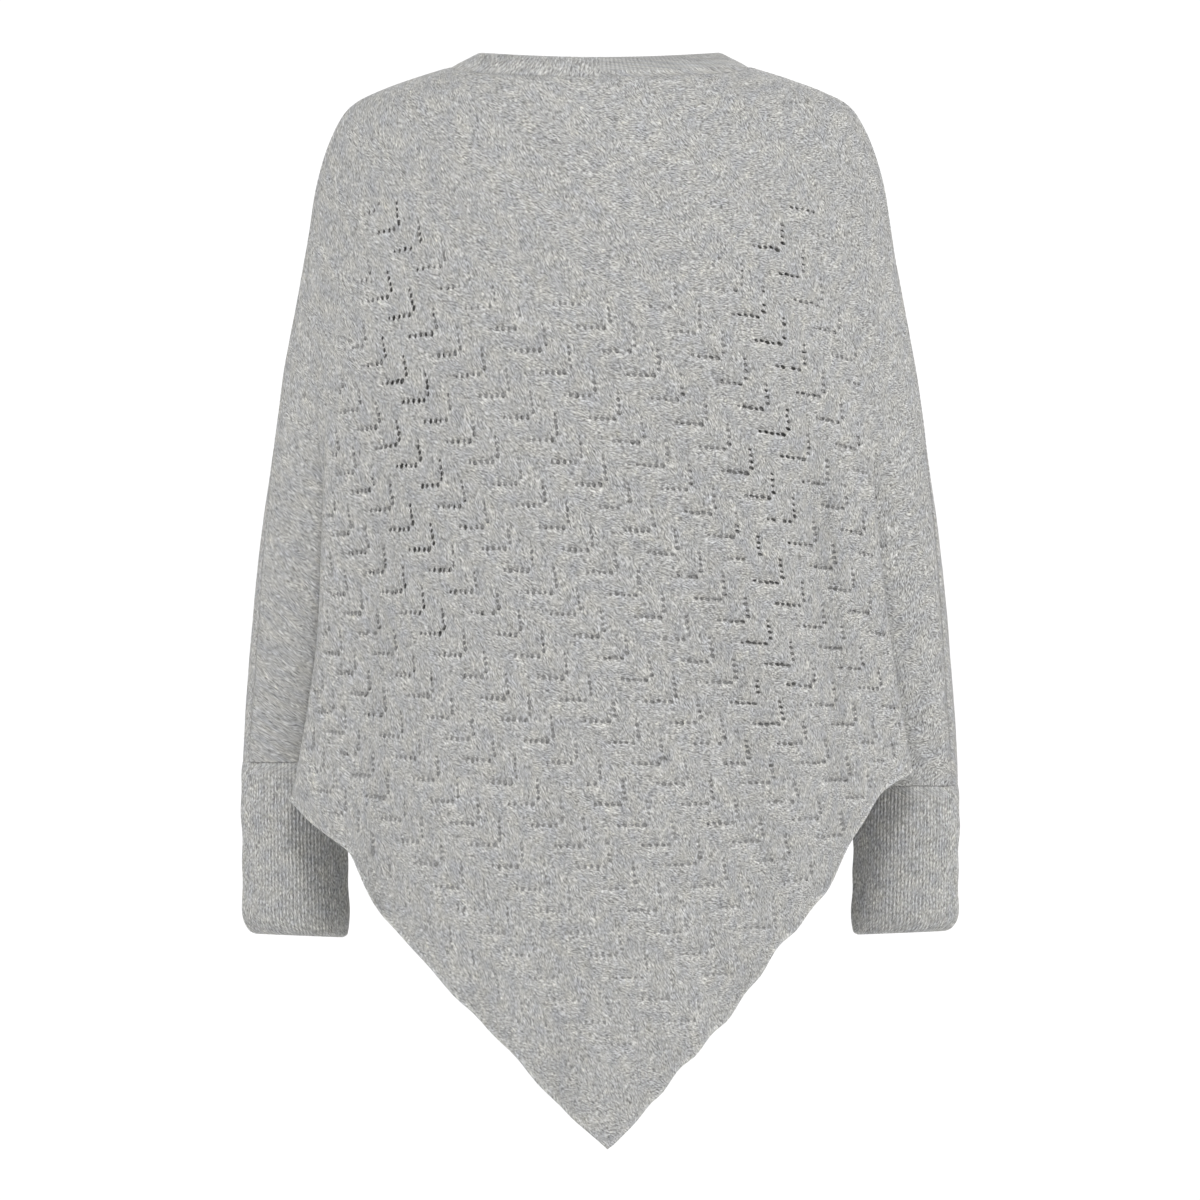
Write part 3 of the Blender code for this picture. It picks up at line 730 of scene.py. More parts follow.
def panel_points(panel, holes):
    """Flat places of all points of the panel's mesh: its rim, its holes' corners and the rest."""
    step, share, size = holes
    by_step, by_share = panel.slopes(step, share)
    first = unit(by_step)
    across = lengths(by_step)
    shear = (by_share * first).sum(axis=-1)
    rest = lengths(by_share - first * shear[:, None])
    turn = np.arange(HOLE_CORNERS) * 2 * np.pi / HOLE_CORNERS
    wobble = rng.uniform(*CORNER_VARIES, (len(step), HOLE_CORNERS)) * size[:, None]
    rounder = 1 + HOLE_ROUNDER * (1 - openness(panel, step, share))
    aside = wobble * HOLE.right * rounder[:, None] * np.cos(turn)
    along_it = wobble * HOLE.down * np.sin(turn)
    right = aside * np.cos(HOLE_LEAN) + along_it * np.sin(HOLE_LEAN)
    down = along_it * np.cos(HOLE_LEAN) - aside * np.sin(HOLE_LEAN)
    corner_share = share[:, None] + down / rest[:, None]
    corner_step = step[:, None] - (right + down / rest[:, None] * shear[:, None]) / across[:, None]
    corners = panel.laid_out(corner_step.ravel(), corner_share.ravel())
    centres = panel.laid_out(step, share)

    # Columns of points, closer across the folds.
    width = panel.flat_across
    columns = [width[0]]
    while columns[-1] < width[-1] - BESIDE_SEAM * POINT_SPACING:
        at = abs(np.interp(columns[-1], width, panel.steps))
        fine = any(low - 0.1 < at < high for low, high in FINE_STEPS)
        columns.append(columns[-1] + (FINE_SPACING if fine else POINT_SPACING))
    columns[-1:] = list(np.linspace(columns[-1], width[-1], 3))
    columns = np.array(columns)
    count = int(panel.flat_length / POINT_SPACING)
    rows = np.arange(1, count) * panel.flat_length / count
    last = panel.flat_length - HEM_ROWS[-1] - ABOVE_HEM_ROWS * POINT_SPACING
    inner = np.concatenate([
        points_of(u, rows + (k % 2 - 0.5) * 0.5 * POINT_SPACING)
        for k, u in enumerate(columns[1:-1])
    ])
    inner = inner[(inner[:, 1] > BENEATH_NECK) & (inner[:, 1] < last)]
    hem = [points_of(columns[1:-1], panel.flat_length - distance) for distance in HEM_ROWS]
    inner = np.concatenate([inner, *hem])
    tree = tree_of(points_of(*centres.T, 0))
    clear = [
        (near := tree.find((*point, 0)))[2] > HOLE.down * size[near[1]] + AROUND_HOLE
        for point in inner
    ]
    inner = inner[np.array(clear)]

    side_rows = np.append(rows[rows < last], panel.flat_length - np.array(HEM_ROWS[::-1]))
    top, bottom = (points_of(columns, end) for end in (0.0, panel.flat_length))
    left, right_side = (points_of(end, side_rows) for end in (width[0], width[-1]))
    rim = np.concatenate([top, right_side, bottom[::-1], left[::-1]])
    return rim, corners, inner


def panel_mesh(panel, hole_places):
    """The panel as a closed thin shell with its lace holes, from a triangulation of its layout."""
    rim, holes, inner = panel_points(panel, hole_places)
    flat = np.concatenate([rim, holes, inner])
    edges = [(k, (k + 1) % len(rim)) for k in range(len(rim))]
    for first in range(len(rim), len(rim) + len(holes), HOLE_CORNERS):
        edges += [(first + k, first + (k + 1) % HOLE_CORNERS) for k in range(HOLE_CORNERS)]
    made = delaunay_2d_cdt([Vector(p) for p in flat], edges, [], 1, 1e-5, True)
    flat = np.array([(p[0], p[1]) for p in made[0]])
    tris = np.array(made[2])
    source = np.array([(ids[0] if ids else -1) for ids in made[3]])

    at_hole = (source >= len(rim)) & (source < len(rim) + len(holes))
    hole_of = np.where(at_hole, (source - len(rim)) // HOLE_CORNERS, -1)
    corner = hole_of[tris]
    in_hole = (corner[:, 0] >= 0) & (corner[:, 0] == corner[:, 1]) & (corner[:, 0] == corner[:, 2])
    tris = tris[~in_hole]

    step, share = panel.from_layout(flat)
    middle, normal = panel.point(step, share)
    half, relief, painted_light = wall_at(panel, step, share, at_hole, hole_places, middle)
    outer = middle + normal * (half + relief)[:, None]
    inner_side = middle - normal * half[:, None]

    a, b, c = (outer[tris[:, k]] for k in range(3))
    outwards = (np.cross(b - a, c - a) * normal[tris[:, 0]]).sum(axis=-1)
    tris = np.where(outwards[:, None] < 0, tris[:, ::-1], tris)
    # The open edges of the outer layer, each used by one triangle, carry the walls between.
    sides = np.concatenate([tris[:, [0, 1]], tris[:, [1, 2]], tris[:, [2, 0]]])
    key = np.sort(sides, axis=1)
    _, at, uses = np.unique(key[:, 0] * len(flat) + key[:, 1], return_index=True, return_counts=True)
    open_sides = sides[at[uses == 1]]
    shift = len(flat)
    walls = np.concatenate([open_sides[:, ::-1], open_sides + shift], axis=1)
    return (
        np.concatenate([outer, inner_side]),
        [*tris.tolist(), *(tris[:, ::-1] + shift).tolist(), *walls.tolist()],
        np.tile(panel.cloth_place(step, share), (2, 1)),
        {"lean": np.tile(lean_of(panel, step, middle), 2), "painted_light": np.tile(painted_light, 2)},
    )


STEP_WIDTH = 22.0  # of one step of the closed curve, near enough beside the seam
Ridge = namedtuple("Ridge", "height middle width")
HEM_SELF_EDGE = Ridge(0.8, 1.6, 1.5)  # painted light along the hem's edge, a lit rim, by the distance from the hem
HEM_HOLLOW = Ridge(-0.35, 5.0, 1.6)
HEM_PAINTED_LIGHT = Ridge(0.9, 1.2, 2.4)  # how much denser the cloth is drawn there
SEAM_RIDGE = Ridge(0.45, 2.6, 1.8)  # by the distance from the seam
LACE_PUCKER = Ridge(-0.18, 0, 4.5)  # by the distance from the nearest hole
# Painted light beside the holes, lifting the shade of the pucker around them, by the distance from
# the nearest hole
LACE_PAINTED_LIGHT = Ridge(1, 0, 3.6)
EDGE_ROUNDING = 1.2  # how far from its edges the wall is rounded
HOLE_THIN, HOLE_SUNK = 0.5, 0.05  # the wall's share of thickness at a hole, and its dip there
SWELL_SLANT = 0.4
# The knit's own unevenness: two waves across each other, each bent by the other's direction.
Swell = namedtuple("Swell", "height wide wide_bend wide_turn high high_bend high_turn")
SWELLS = (Swell(0.12, 7.3, 1.7, 19, 8.9, 1.3, 23), Swell(0.14, 17, 2.1, 41, 26, 1.9, 37))


def ridge_at(distance, ridge):
    """How high a ridge along an edge, a seam or a hole stands at this distance from it."""
    return ridge.height * hump(distance, ridge.middle, ridge.width)


def wall_at(panel, step, share, at_hole, hole_places, middle):
    """Half thickness and outer relief of the wall, and how much painted light the cloth gets beside
    the
    lace and the hem: rounded at its edges and holes, a rolled self edge at the hem, a shallow pucker
    along the lace and the knit's own unevenness."""
    length = np.interp(step, panel.steps, panel.length)
    below, beneath_neck = (1 - share) * length, share * length
    panel_part = 1 - ease(FOLD_EDGE_STEP, FOLD_EDGE_STEP + 1.5, abs(step))
    relief = (ridge_at(below, HEM_SELF_EDGE) + ridge_at(below, HEM_HOLLOW)) * panel_part
    seam = (QUARTER - abs(step)) * STEP_WIDTH
    relief += ridge_at(seam, SEAM_RIDGE)

    hole_step, hole_share, _ = hole_places
    tree = tree_of(panel.point(hole_step, hole_share)[0])
    near = np.array([tree.find(point)[2] for point in middle])
    relief += ridge_at(near, LACE_PUCKER)

    u, v = middle[:, 0] + SWELL_SLANT * middle[:, 1], middle[:, 2]
    for swell in SWELLS:
        wide = np.sin(u / swell.wide + swell.wide_bend * np.sin(v / swell.wide_turn))
        high = np.sin(v / swell.high + swell.high_bend * np.sin(u / swell.high_turn))
        relief += swell.height * wide * high

    edge = np.minimum(beneath_neck, seam)
    edge = np.minimum(edge, np.where(abs(step) > TUCK_STEP, EDGE_ROUNDING, below))
    half = HALF_WALL * np.where(at_hole, HOLE_THIN, 0.55 + 0.45 * ease(0, EDGE_ROUNDING, edge))
    # Painted light beside the holes and along the hem's edge.
    painted_light = np.maximum(ridge_at(near, LACE_PAINTED_LIGHT), ridge_at(below, HEM_PAINTED_LIGHT) * panel_part)
    return half, np.where(at_hole, relief - HOLE_SUNK, relief), painted_light


# ---------------------------------------------------------------- ribbed cuffs and neckband

RIB_COLUMNS = 6
CUFF_COLUMNS = CUFF_RIBS * RIB_COLUMNS
CUFF_ROWS, CUFF_LAST_ROWS = 56, 6  # evenly down to the lower edge, and closer over it
CUFF_ROWS_END, CUFF_EDGE_START = 0.96, 0.968
CUFF_RIB = 0.95  # how deep the ribs are
CUFF_ROUNDING, CUFF_TURN_IN = 7.0, 3.0  # the lower edge turns in over these last millimetres
CUFF_NARROWS, CUFF_FASTER = 0.82, 2.4  # the share from which a cuff narrows, ever faster
CUFF_TILT = 1.3
CUFF_DRAWN_IN, CUFF_DRAWN_OVER = 0.6, 14  # at the seam to the sleeve
CUFF_WAVES = ((0.5, 9.0, 0.0), (0.35, 23.0, 1.0))  # swellings: height, turns down, first turn
CUFF_EDGE_ROUND = 1.6
CUFF_RIB_START = 9.0  # the ribs come up over these first millimetres
CUFF_LIP = Ridge(0.4, 2.2, 1.6)  # by the distance from the lower edge
INSIDE_RIB = 0.4  # the ribs' height inside a cuff, as a share of that outside
BAND_COLUMNS = BAND_RIBS * RIB_COLUMNS
BAND_ROWS = 9
BAND_RIB = 0.6
BAND_BOW = 1.0
BAND_DOWN = 17.0  # the length of its ribs from edge to seam
BAND_EDGE_ROUND, BAND_RIB_START, BAND_RIB_END = 2.2, 2, 13
BAND_SEAM = Ridge(-0.5, BAND_DOWN, 2.0)
BELOW_BAND = -400.0  # a height that the hem's waves don't reach up from


def ribbed_mesh(middle, normal, down, edge, fade, ridge, count, depth, inside=0):
    """A closed tube with one-and-one ribs, round ridges with narrow grooves, with the cloth's place
    of each point and how far it stands on a rib. The shares of the wall's thickness and of the
    ribs' depth and the height of a ridge go by the tube's rows."""
    edge, fade, ridge = (rows[:, None] for rows in (edge, fade, ridge))
    turn = np.arange(middle.shape[1]) * count * 2 * np.pi / middle.shape[1]
    rib = depth * (np.sqrt(0.5 + 0.5 * np.cos(turn) + 0.02) - 0.5) * fade
    outer = middle + normal * (HALF_WALL * edge + rib + ridge)[..., None]
    inner = middle - normal * (HALF_WALL * edge - rib * inside)[..., None]
    rows, columns = outer.shape[:2]
    number = np.arange(rows * columns).reshape(rows, columns)
    beside = np.roll(number, -1, axis=1)
    quads = points_of(number[:-1], number[1:], beside[1:], beside[:-1]).reshape(-1, 4)
    shift = rows * columns
    top = points_of(number[0], beside[0], beside[0] + shift, number[0] + shift)
    bottom = points_of(beside[-1], number[-1], number[-1] + shift, beside[-1] + shift)
    faces = [*quads.tolist(), *(quads[:, ::-1] + shift).tolist(), *top.tolist(), *bottom.tolist()]
    run = lengths(np.diff(outer, axis=1, append=outer[:, :1]))
    across = np.cumsum(run, axis=1) - run
    places = points_of(across, down[:, None]).reshape(-1, 2) * MM
    # How far each point stands on a rib, which the rib material turns into painted shade in the
    # grooves and painted light on the ridges.
    on_rib = np.clip((rib / depth).ravel() + 0.5, 0, 1)
    points = np.concatenate([outer.reshape(-1, 3), inner.reshape(-1, 3)])
    return points, faces, np.tile(places, (2, 1)), {"painted_light": np.tile(on_rib, 2)}


def cuff_points(side):
    """Middle points and outward normals of a cuff's tube, and how far down it its rows are."""
    outwards = 1 if side == "left" else -1
    top = SLEEVE_HEIGHT[side]
    length = top - CUFF_BOTTOM[side]
    half_width = float(along(LEVELS, "half_width", SLEEVE_HEIGHT[side]))
    centre_x = half_width - CUFF_RINGS[0].half_width
    turn = np.arange(CUFF_COLUMNS) * 2 * np.pi / CUFF_COLUMNS
    even = np.linspace(0, CUFF_ROWS_END, CUFF_ROWS)
    shares = np.append(even, np.linspace(CUFF_EDGE_START, 1, CUFF_LAST_ROWS))
    middle = []
    for share in shares:
        late = max(share - CUFF_NARROWS, 0) / (1 - CUFF_NARROWS)
        at = min(share, CUFF_NARROWS) + (1 - CUFF_NARROWS) * late**CUFF_FASTER
        ring = row_at(CUFF_RINGS, at)
        easing = sum(high * np.sin(share * turns + first) for high, turns, first in CUFF_WAVES)
        easing = easing - CUFF_DRAWN_IN * np.exp(-length * share / CUFF_DRAWN_OVER)
        above = np.clip(length * (1 - share) / CUFF_ROUNDING, 0, 1)
        easing = easing - CUFF_TURN_IN * (1 - np.sqrt(1 - (1 - above) ** 2))
        x = centre_x + ring.shift_x + (ring.half_width + easing) * np.cos(turn)
        y = SLEEVES[-1].centre_y + ring.shift_y + (ring.half_depth + easing) * np.sin(turn)
        z = top - length * share + CUFF_TILT * share**2 * np.cos(turn)
        middle.append(points_of(outwards * x, y, z))
    middle = np.array(middle)
    across = np.roll(middle, -1, axis=1) - np.roll(middle, 1, axis=1)
    normal = unit(points_of(across[..., 1], -across[..., 0], 0.0))
    out = (normal * (middle - middle.mean(axis=1, keepdims=True))).sum(axis=-1, keepdims=True)
    return middle, normal * np.sign(out), shares * length


def cuff_mesh(middle, normal, down):
    up = down[-1] - down
    edge = ease(0, CUFF_EDGE_ROUND, up) * 0.6 + 0.4
    fade = 0.15 + 0.85 * ease(0, CUFF_RIB_START, down)
    lip = ridge_at(up, CUFF_LIP)
    return ribbed_mesh(middle, normal, down, edge, fade, lip, CUFF_RIBS, CUFF_RIB, INSIDE_RIB)


def even_loop(points, *others, count):
    """The closed loop of these points, and what goes with them, at this many even distances."""
    run = running(lengths(np.diff(points, axis=0, append=points[:1])))
    at = np.arange(count) * run[-1] / count
    return [
        points_of(*(np.interp(at, run, np.append(part[:, k], part[0, k])) for k in range(3)))
        for part in (points, *others)
    ]


def band_points():
    """Middle points and outward normals of the neckband, from its top edge down."""
    around = np.linspace(0, AROUND, 8 * AROUND, endpoint=False)
    top, _ = column_ends(around)
    edge, out = hang(around, top, BELOW_BAND), facing(around, top, BELOW_BAND)
    base, out = even_loop(edge, out, count=BAND_COLUMNS)
    turn = np.linspace(0, 2 * np.pi, 4 * BAND_COLUMNS, endpoint=False)
    x, lean = BAND_TOP_HALF_WIDTH * np.sin(turn), np.cos(turn)
    y = np.where(lean > 0, BAND_TOP_BACK * lean, -BAND_TOP_FRONT * lean)
    drop = np.where(lean > 0, BAND_TOP_DROP["back"] * lean**2, -BAND_TOP_DROP["front"] * lean)
    (rim,) = even_loop(points_of(x, y, BAND_TOP_SIDE_HEIGHT - drop), count=BAND_COLUMNS)
    loop = unit(np.roll(base, -1, axis=0) - np.roll(base, 1, axis=0))
    out = unit(out)
    band_out = unit(np.cross(rim - base, loop))
    upwards = unit(np.cross(loop, out))
    rows, normals = [], []
    for share in np.linspace(0, 1, BAND_ROWS):
        bow = BAND_BOW * 4 * share * (1 - share)
        rows.append(rim + (base - rim) * share + upwards * bow)
        normals.append(unit(band_out + (out - band_out) * share))
    return np.array(rows), np.array(normals)


def band_mesh(middle, normal):
    down = np.linspace(0, 1, BAND_ROWS) * BAND_DOWN
    edge = 0.45 + 0.55 * ease(0, BAND_EDGE_ROUND, down)
    fade = 0.35 + 0.65 * ease(BAND_DOWN, BAND_RIB_END, down)
    fade = fade * (0.6 + 0.4 * ease(0, BAND_RIB_START, down))
    dip = ridge_at(down, BAND_SEAM)
    return ribbed_mesh(middle, normal, down, edge, fade, dip, BAND_RIBS, BAND_RIB)


# ---------------------------------------------------------------- the nap of loose fibres

NAP_HEIGHT = 0.30  # how far the fibres stand off the cloth
NAP_WIDTH = (0.08, 0.20)
# The naps' lengths (shape and scale of the spread, and the least), the shares of the height that
# they stand off and how far out of the wall they are rooted.
Nap = namedtuple("Nap", "shape scale least lift root")
PANEL_FIBRES = Nap(5.0, 0.5, 1.0, (0.15, 1.2), 0.05)
RIB_FIBRES = Nap(4.0, 0.4, 0.6, (0.2, 1.2), 0.1)
RIB_SLANT = 0.15
NAP_END = 0.992  # the share of a panel's length at which its last fibres are rooted
NAP_FREE_ROWS = 5  # at the lower edge of a cuff or the neckband
STEEP_ANGLE, FLAT_ANGLE = np.radians(54), np.radians(20)  # of the stitches' lean, downwards
NAP_STRAY, WILD_STRAY, WILD_SHARE = 0.22, 0.9, 0.15  # how far the angles stray, in radians
VEIL, VEIL_OPEN = 7.8, 0.96  # fibres across a hole, and the share of them that open ones lack
VEIL_STRAY, VEIL_LIFT, VEIL_ROOT = 0.55, 0.1, 0.3
# The fibres across the holes get darker tones than the nap, which paints the shade inside the holes.
VEIL_LENGTH, VEIL_WIDTH, VEIL_PAINTED_SHADE = (3.2, 4.6), (0.28, 0.46), (0.12, 0.6)
BEND = 0.08  # of a fibre, as a share of its length


def fibres(root, normal, direction, length, width, lift, tone):
    """Short curved ribbons: 5 points and a quad and a triangle each."""
    side = unit(np.cross(normal, direction))
    bend = side * (rng.normal(0, BEND, len(root)) * length)[:, None]
    half = side * (width / 2)[:, None]
    mid = root + direction * (length * 0.5)[:, None] + normal * lift[:, None] + bend
    tip = root + direction * length[:, None] + normal * (lift * 0.7)[:, None] - bend * 0.4
    points = np.stack([root - half, root + half, mid + half, mid - half, tip], axis=1)
    first = np.arange(len(root))[:, None] * 5
    quads = first + np.array((0, 1, 2, 3))
    tips = first + np.array((3, 2, 4))
    return points.reshape(-1, 3), [*quads.tolist(), *tips.tolist()], np.repeat(tone, 5)


def laid_nap(kind, root, normal, direction):
    """Fibres of one kind of nap, rooted just outside the wall."""
    count = len(root)
    root = root + normal * (HALF_WALL + kind.root)
    length = rng.gamma(kind.shape, kind.scale, count) + kind.least
    lift = NAP_HEIGHT * rng.uniform(*kind.lift, count)
    width = rng.uniform(*NAP_WIDTH, count)
    return fibres(root, normal, direction, length, width, lift, rng.random(count))


def slanting(first, second, angle):
    """Directions turned by this angle from the first ones towards the second ones."""
    return first * np.cos(angle)[:, None] + second * np.sin(angle)[:, None]


def directions(panel, step, share):
    """Points of the cloth, its normals, and its rightward and downward directions there."""
    place, normal = panel.point(step, share)
    by_step, by_share = panel.slopes(step, share)
    right = -unit(by_step)
    down = unit(np.cross(right, normal))
    down *= np.sign((down * by_share).sum(axis=-1, keepdims=True))
    return place, normal, right, down


def panel_nap(panel, count):
    """Fibres laid over the outside of a panel, down and to the right, as the stitches lean."""
    weight = panel.cells / panel.area
    cell = rng.choice(weight.size, count, p=weight.ravel())
    row, column = np.divmod(cell, weight.shape[1])
    share = np.minimum((row + rng.random(count)) / ARC_ROWS, NAP_END)
    step = panel.steps[column] + rng.random(count) * (panel.steps[1] - panel.steps[0])
    root, normal, right, down = directions(panel, step, share)
    lean = lean_of(panel, step, root)
    angle = FLAT_ANGLE + (STEEP_ANGLE - FLAT_ANGLE) * lean
    angle = angle + rng.normal(0, NAP_STRAY, count)
    angle = angle + rng.normal(0, WILD_STRAY, count) * (rng.random(count) < WILD_SHARE)
    return laid_nap(PANEL_FIBRES, root, normal, slanting(right, down, angle))


def hole_veil(panel, holes):
    """Loose fibres across the holes, fewer where the lace is pulled open."""
    step, share, size = holes
    wanted = VEIL * (1 - VEIL_OPEN * openness(panel, step, share))
    copies = np.floor(wanted + rng.random(len(step))).astype(int)
    pick = np.repeat(np.arange(len(step)), copies)
    place, normal, right, down = directions(panel, step[pick], share[pick])
    count = len(pick)
    direction = slanting(right, down, STEEP_ANGLE + rng.normal(0, VEIL_STRAY, count))
    aside = rng.uniform(-1.0, 1.0, count) * size[pick]
    length = rng.uniform(*VEIL_LENGTH, count)
    root = place + (right - down) * aside[:, None] - direction * (length / 2)[:, None]
    root = root - normal * (HALF_WALL * VEIL_ROOT)
    width = rng.uniform(*VEIL_WIDTH, count)
    # Darker tones than the nap's: painted shade inside the holes.
    tone_and_painted_shade = rng.uniform(*VEIL_PAINTED_SHADE, count)
    return fibres(root, normal, direction, length, width, np.full(count, VEIL_LIFT), tone_and_painted_shade)


def joined(*parts):
    """Several sets of fibres as one."""
    points, faces, tones, shift = [], [], [], 0
    for part_points, part_faces, part_tones in parts:
        points.append(part_points)
        faces += [[k + shift for k in face] for face in part_faces]
        tones.append(part_tones)
        shift += len(part_points)
    return np.concatenate(points), faces, np.concatenate(tones)


def tube_nap(middle, normal, count, spread):
    """Fibres along the ribs of a cuff or the neckband."""
    rows, columns = middle.shape[:2]
    row = rng.integers(1, rows - NAP_FREE_ROWS, count)
    column = rng.integers(0, columns, count)
    root, out = middle[row, column], normal[row, column]
    down = unit(middle[np.minimum(row + 1, rows - 1), column] - middle[row - 1, column])
    right = unit(np.cross(down, out))
    root = root + down * rng.uniform(-1, 1, (count, 1))
    direction = slanting(down, right, rng.normal(RIB_SLANT, spread, count))
    return laid_nap(RIB_FIBRES, root, out, direction)


# ---------------------------------------------------------------- materials


def node(tree, kind, inputs=None, **settings):
    made = tree.nodes.new(kind)
    for name, value in settings.items():
        setattr(made, name, value)
    for name, value in (inputs or {}).items():
        socket = made.inputs[name]
        if isinstance(value, bpy.types.NodeSocket):
            tree.links.new(value, socket)
        else:
            socket.default_value = value
    return made


def ramp(tree, value, *stops):
    made = node(tree, "ShaderNodeValToRGB", {"Fac": value})
    elements = made.color_ramp.elements
    while len(elements) < len(stops):
        elements.new(0.5)
    for element, (place, colour) in zip(elements, stops):
        element.position = place
        element.color = (*colour, 1)
    return made.outputs["Color"]


def grey(value, warm=0.0):
    return (value * (1 + warm), value, value * (1 - 1.6 * warm))


def noise(tree, place, scale, detail, roughness=0.5, output="Fac"):
    inputs = {"Vector": place, "Scale": scale, "Detail": detail, "Roughness": roughness}
    return node(tree, "ShaderNodeTexNoise", inputs).outputs[output]


def attribute(tree, name):
    return node(tree, "ShaderNodeAttribute", attribute_name=name).outputs["Fac"]


def scaled(tree, vector, scale):
    inputs = {0: vector, "Scale": scale}
    return node(tree, "ShaderNodeVectorMath", inputs, operation="SCALE").outputs[0]


def mixed(tree, factor, first, second):
    mix = node(tree, "ShaderNodeMix", {"Factor": factor, "A": first, "B": second})
    return mix.outputs["Result"]


def times(tree, first, second):
    """Two colours multiplied."""
    inputs = {"Factor": 1.0, 6: first, 7: second}
    mix = node(tree, "ShaderNodeMix", inputs, data_type="RGBA", blend_type="MULTIPLY")
    return mix.outputs[2]


def streaks(tree, flat, angle, pitch):
    """Noise drawn out into streaks at this angle downwards."""
    turned = node(tree, "ShaderNodeMapping", {"Vector": flat, "Rotation": (0, 0, -angle)})
    scale = (1 / pitch[0], 1 / pitch[1], 1)
    drawn = node(tree, "ShaderNodeMapping", {"Vector": turned.outputs[0], "Scale": scale})
    return noise(tree, drawn.outputs[0], 1.0, 1.0, 0.4)


WOOL_SURFACE = {"Specular IOR Level": 0.25, "Sheen Weight": 0.2}
CLOUD_TINTS = (
    (0.30, (0.892, 0.905, 0.935)),
    (0.5, (1.0, 1.0, 0.985)),
    (0.70, (1.098, 1.085, 1.03)),
)
CLOUD_SCALE, SPOT_SCALE = 0.08, 0.33
FLECK_SCALE, FLECK_SHARE = 0.55, 0.27
DRIFT_SCALE, DRIFT = 0.09, 5.0  # how the strands wander
STEEP_LEANS = (0.38, 0.62)  # the leans between which the two angles change over
CREAM_SPOTS = (0.64, (1.0, 1.0, 1.0)), (0.76, (1.2, 1.19, 1.13))
# Where the ramp of the strands has each tone, how far that is from the middle one, and how warm.
STRAND_TONES = (
    (0.36, -0.62, 0.006),
    (0.45, -0.22, 0.004),
    (0.53, 0.10, 0.0),
    (0.63, 0.68, -0.004),
)
NAP_TONES = (
    (0.0, 0.38, 0.01),
    (0.16, 0.68, 0.01),
    (0.45, 1.0, 0.0),
    (0.8, 1.25, 0.0),
    (1.0, 1.6, 0.0),
)


def new_material(name, values):
    """A material, its nodes and its shader, with these values."""
    material = bpy.data.materials.new(name)
    material.use_nodes = True
    shader = material.node_tree.nodes["Principled BSDF"]
    for label, value in values.items():
        shader.inputs[label].default_value = value
    return material, material.node_tree, shader


def wool(name, tone, angles, pitch, depth, contrast, painted_light_tones):
    """Melange wool: dark and cream strands drawn out along the stitches, fine flecks and faint
    warm and cool clouds. The two angles are mixed by the lean of the stitches. On top of that,
    light and shade are painted into the colour: the two given tones go from 0 to 1 of a value the
    pieces carry, painting the cloth lighter beside the lace and along the hem, and the ribs darker
    in their grooves and lighter on their ridges."""
    material, tree, shader = new_material(name, {**WOOL_SURFACE, "Roughness": 0.92})
    place = node(tree, "ShaderNodeUVMap", uv_map="cloth").outputs["UV"]
    flat = scaled(tree, place, 1 / MM)
    drift = scaled(tree, noise(tree, flat, DRIFT_SCALE, 1.0, output="Color"), DRIFT)
    bent = node(tree, "ShaderNodeVectorMath", {0: flat, 1: drift}, operation="ADD").outputs[0]
    strands = streaks(tree, bent, angles[0], pitch)
    if len(angles) > 1:
        low, high = STEEP_LEANS
        steep = {"Value": attribute(tree, "lean"), "From Min": low, "From Max": high}
        steep = node(tree, "ShaderNodeMapRange", steep).outputs["Result"]
        strands = mixed(tree, steep, streaks(tree, bent, angles[1], pitch), strands)
    tufts = mixed(tree, FLECK_SHARE, strands, noise(tree, flat, FLECK_SCALE, 2.0))
    tones = [(at, grey(tone * (1 + far * contrast), warm)) for at, far, warm in STRAND_TONES]
    tint = times(
        tree,
        ramp(tree, noise(tree, flat, CLOUD_SCALE, 3.0), *CLOUD_TINTS),
        ramp(tree, noise(tree, bent, SPOT_SCALE, 1.0), *CREAM_SPOTS),
    )
    colour = times(tree, ramp(tree, tufts, *tones), tint)
    # Painted light and shade: lighter beside the lace and along the hem, darker in the ribs' grooves
    # and lighter on their ridges.
    painted_light_tint = ramp(tree, attribute(tree, "painted_light"), (0.0, grey(painted_light_tones[0])), (1.0, grey(painted_light_tones[1])))
    colour = times(tree, colour, painted_light_tint)
    bump = {"Height": tufts, "Strength": 1.0, "Distance": depth * MM}
    bump = node(tree, "ShaderNodeBump", bump).outputs["Normal"]
    tree.links.new(colour, shader.inputs["Base Color"])
    tree.links.new(bump, shader.inputs["Normal"])
    return material


def nap_wool(name, tone):
    """The loose fibres: each has its own tone, from charcoal to cream; those across the holes are
    darker, which paints the shade inside them.
    """
    material, tree, shader = new_material(name, {**WOOL_SURFACE, "Roughness": 0.85})
    tones = [(at, grey(tone * share, warm)) for at, share, warm in NAP_TONES]
    colour = ramp(tree, attribute(tree, "tone_and_painted_shade"), *tones)
    tree.links.new(colour, shader.inputs["Base Color"])
    return material


# ---------------------------------------------------------------- putting it together


def add_piece(name, points, faces, material, values, places=None):
    """A piece of the sweater, with named values and its place on the flat cloth at its points."""
    mesh = bpy.data.meshes.new(name)
    mesh.from_pydata((points * MM).tolist(), [], faces)
    mesh.validate()
    mesh.shade_smooth()
    if places is not None:
        corners = np.empty(len(mesh.loops), int)
        mesh.loops.foreach_get("vertex_index", corners)
        layer = mesh.uv_layers.new(name="cloth")
        layer.uv.foreach_set("vector", places[corners].ravel())
    for label, value in values.items():
        mesh.attributes.new(label, "FLOAT", "POINT").data.foreach_set("value", value)
    mesh.materials.append(material)
    piece = bpy.data.objects.new(name, mesh)
    bpy.context.scene.collection.objects.link(piece)
    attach(piece, "root")
    return piece


HATCH = (STEEP_ANGLE, FLAT_ANGLE)
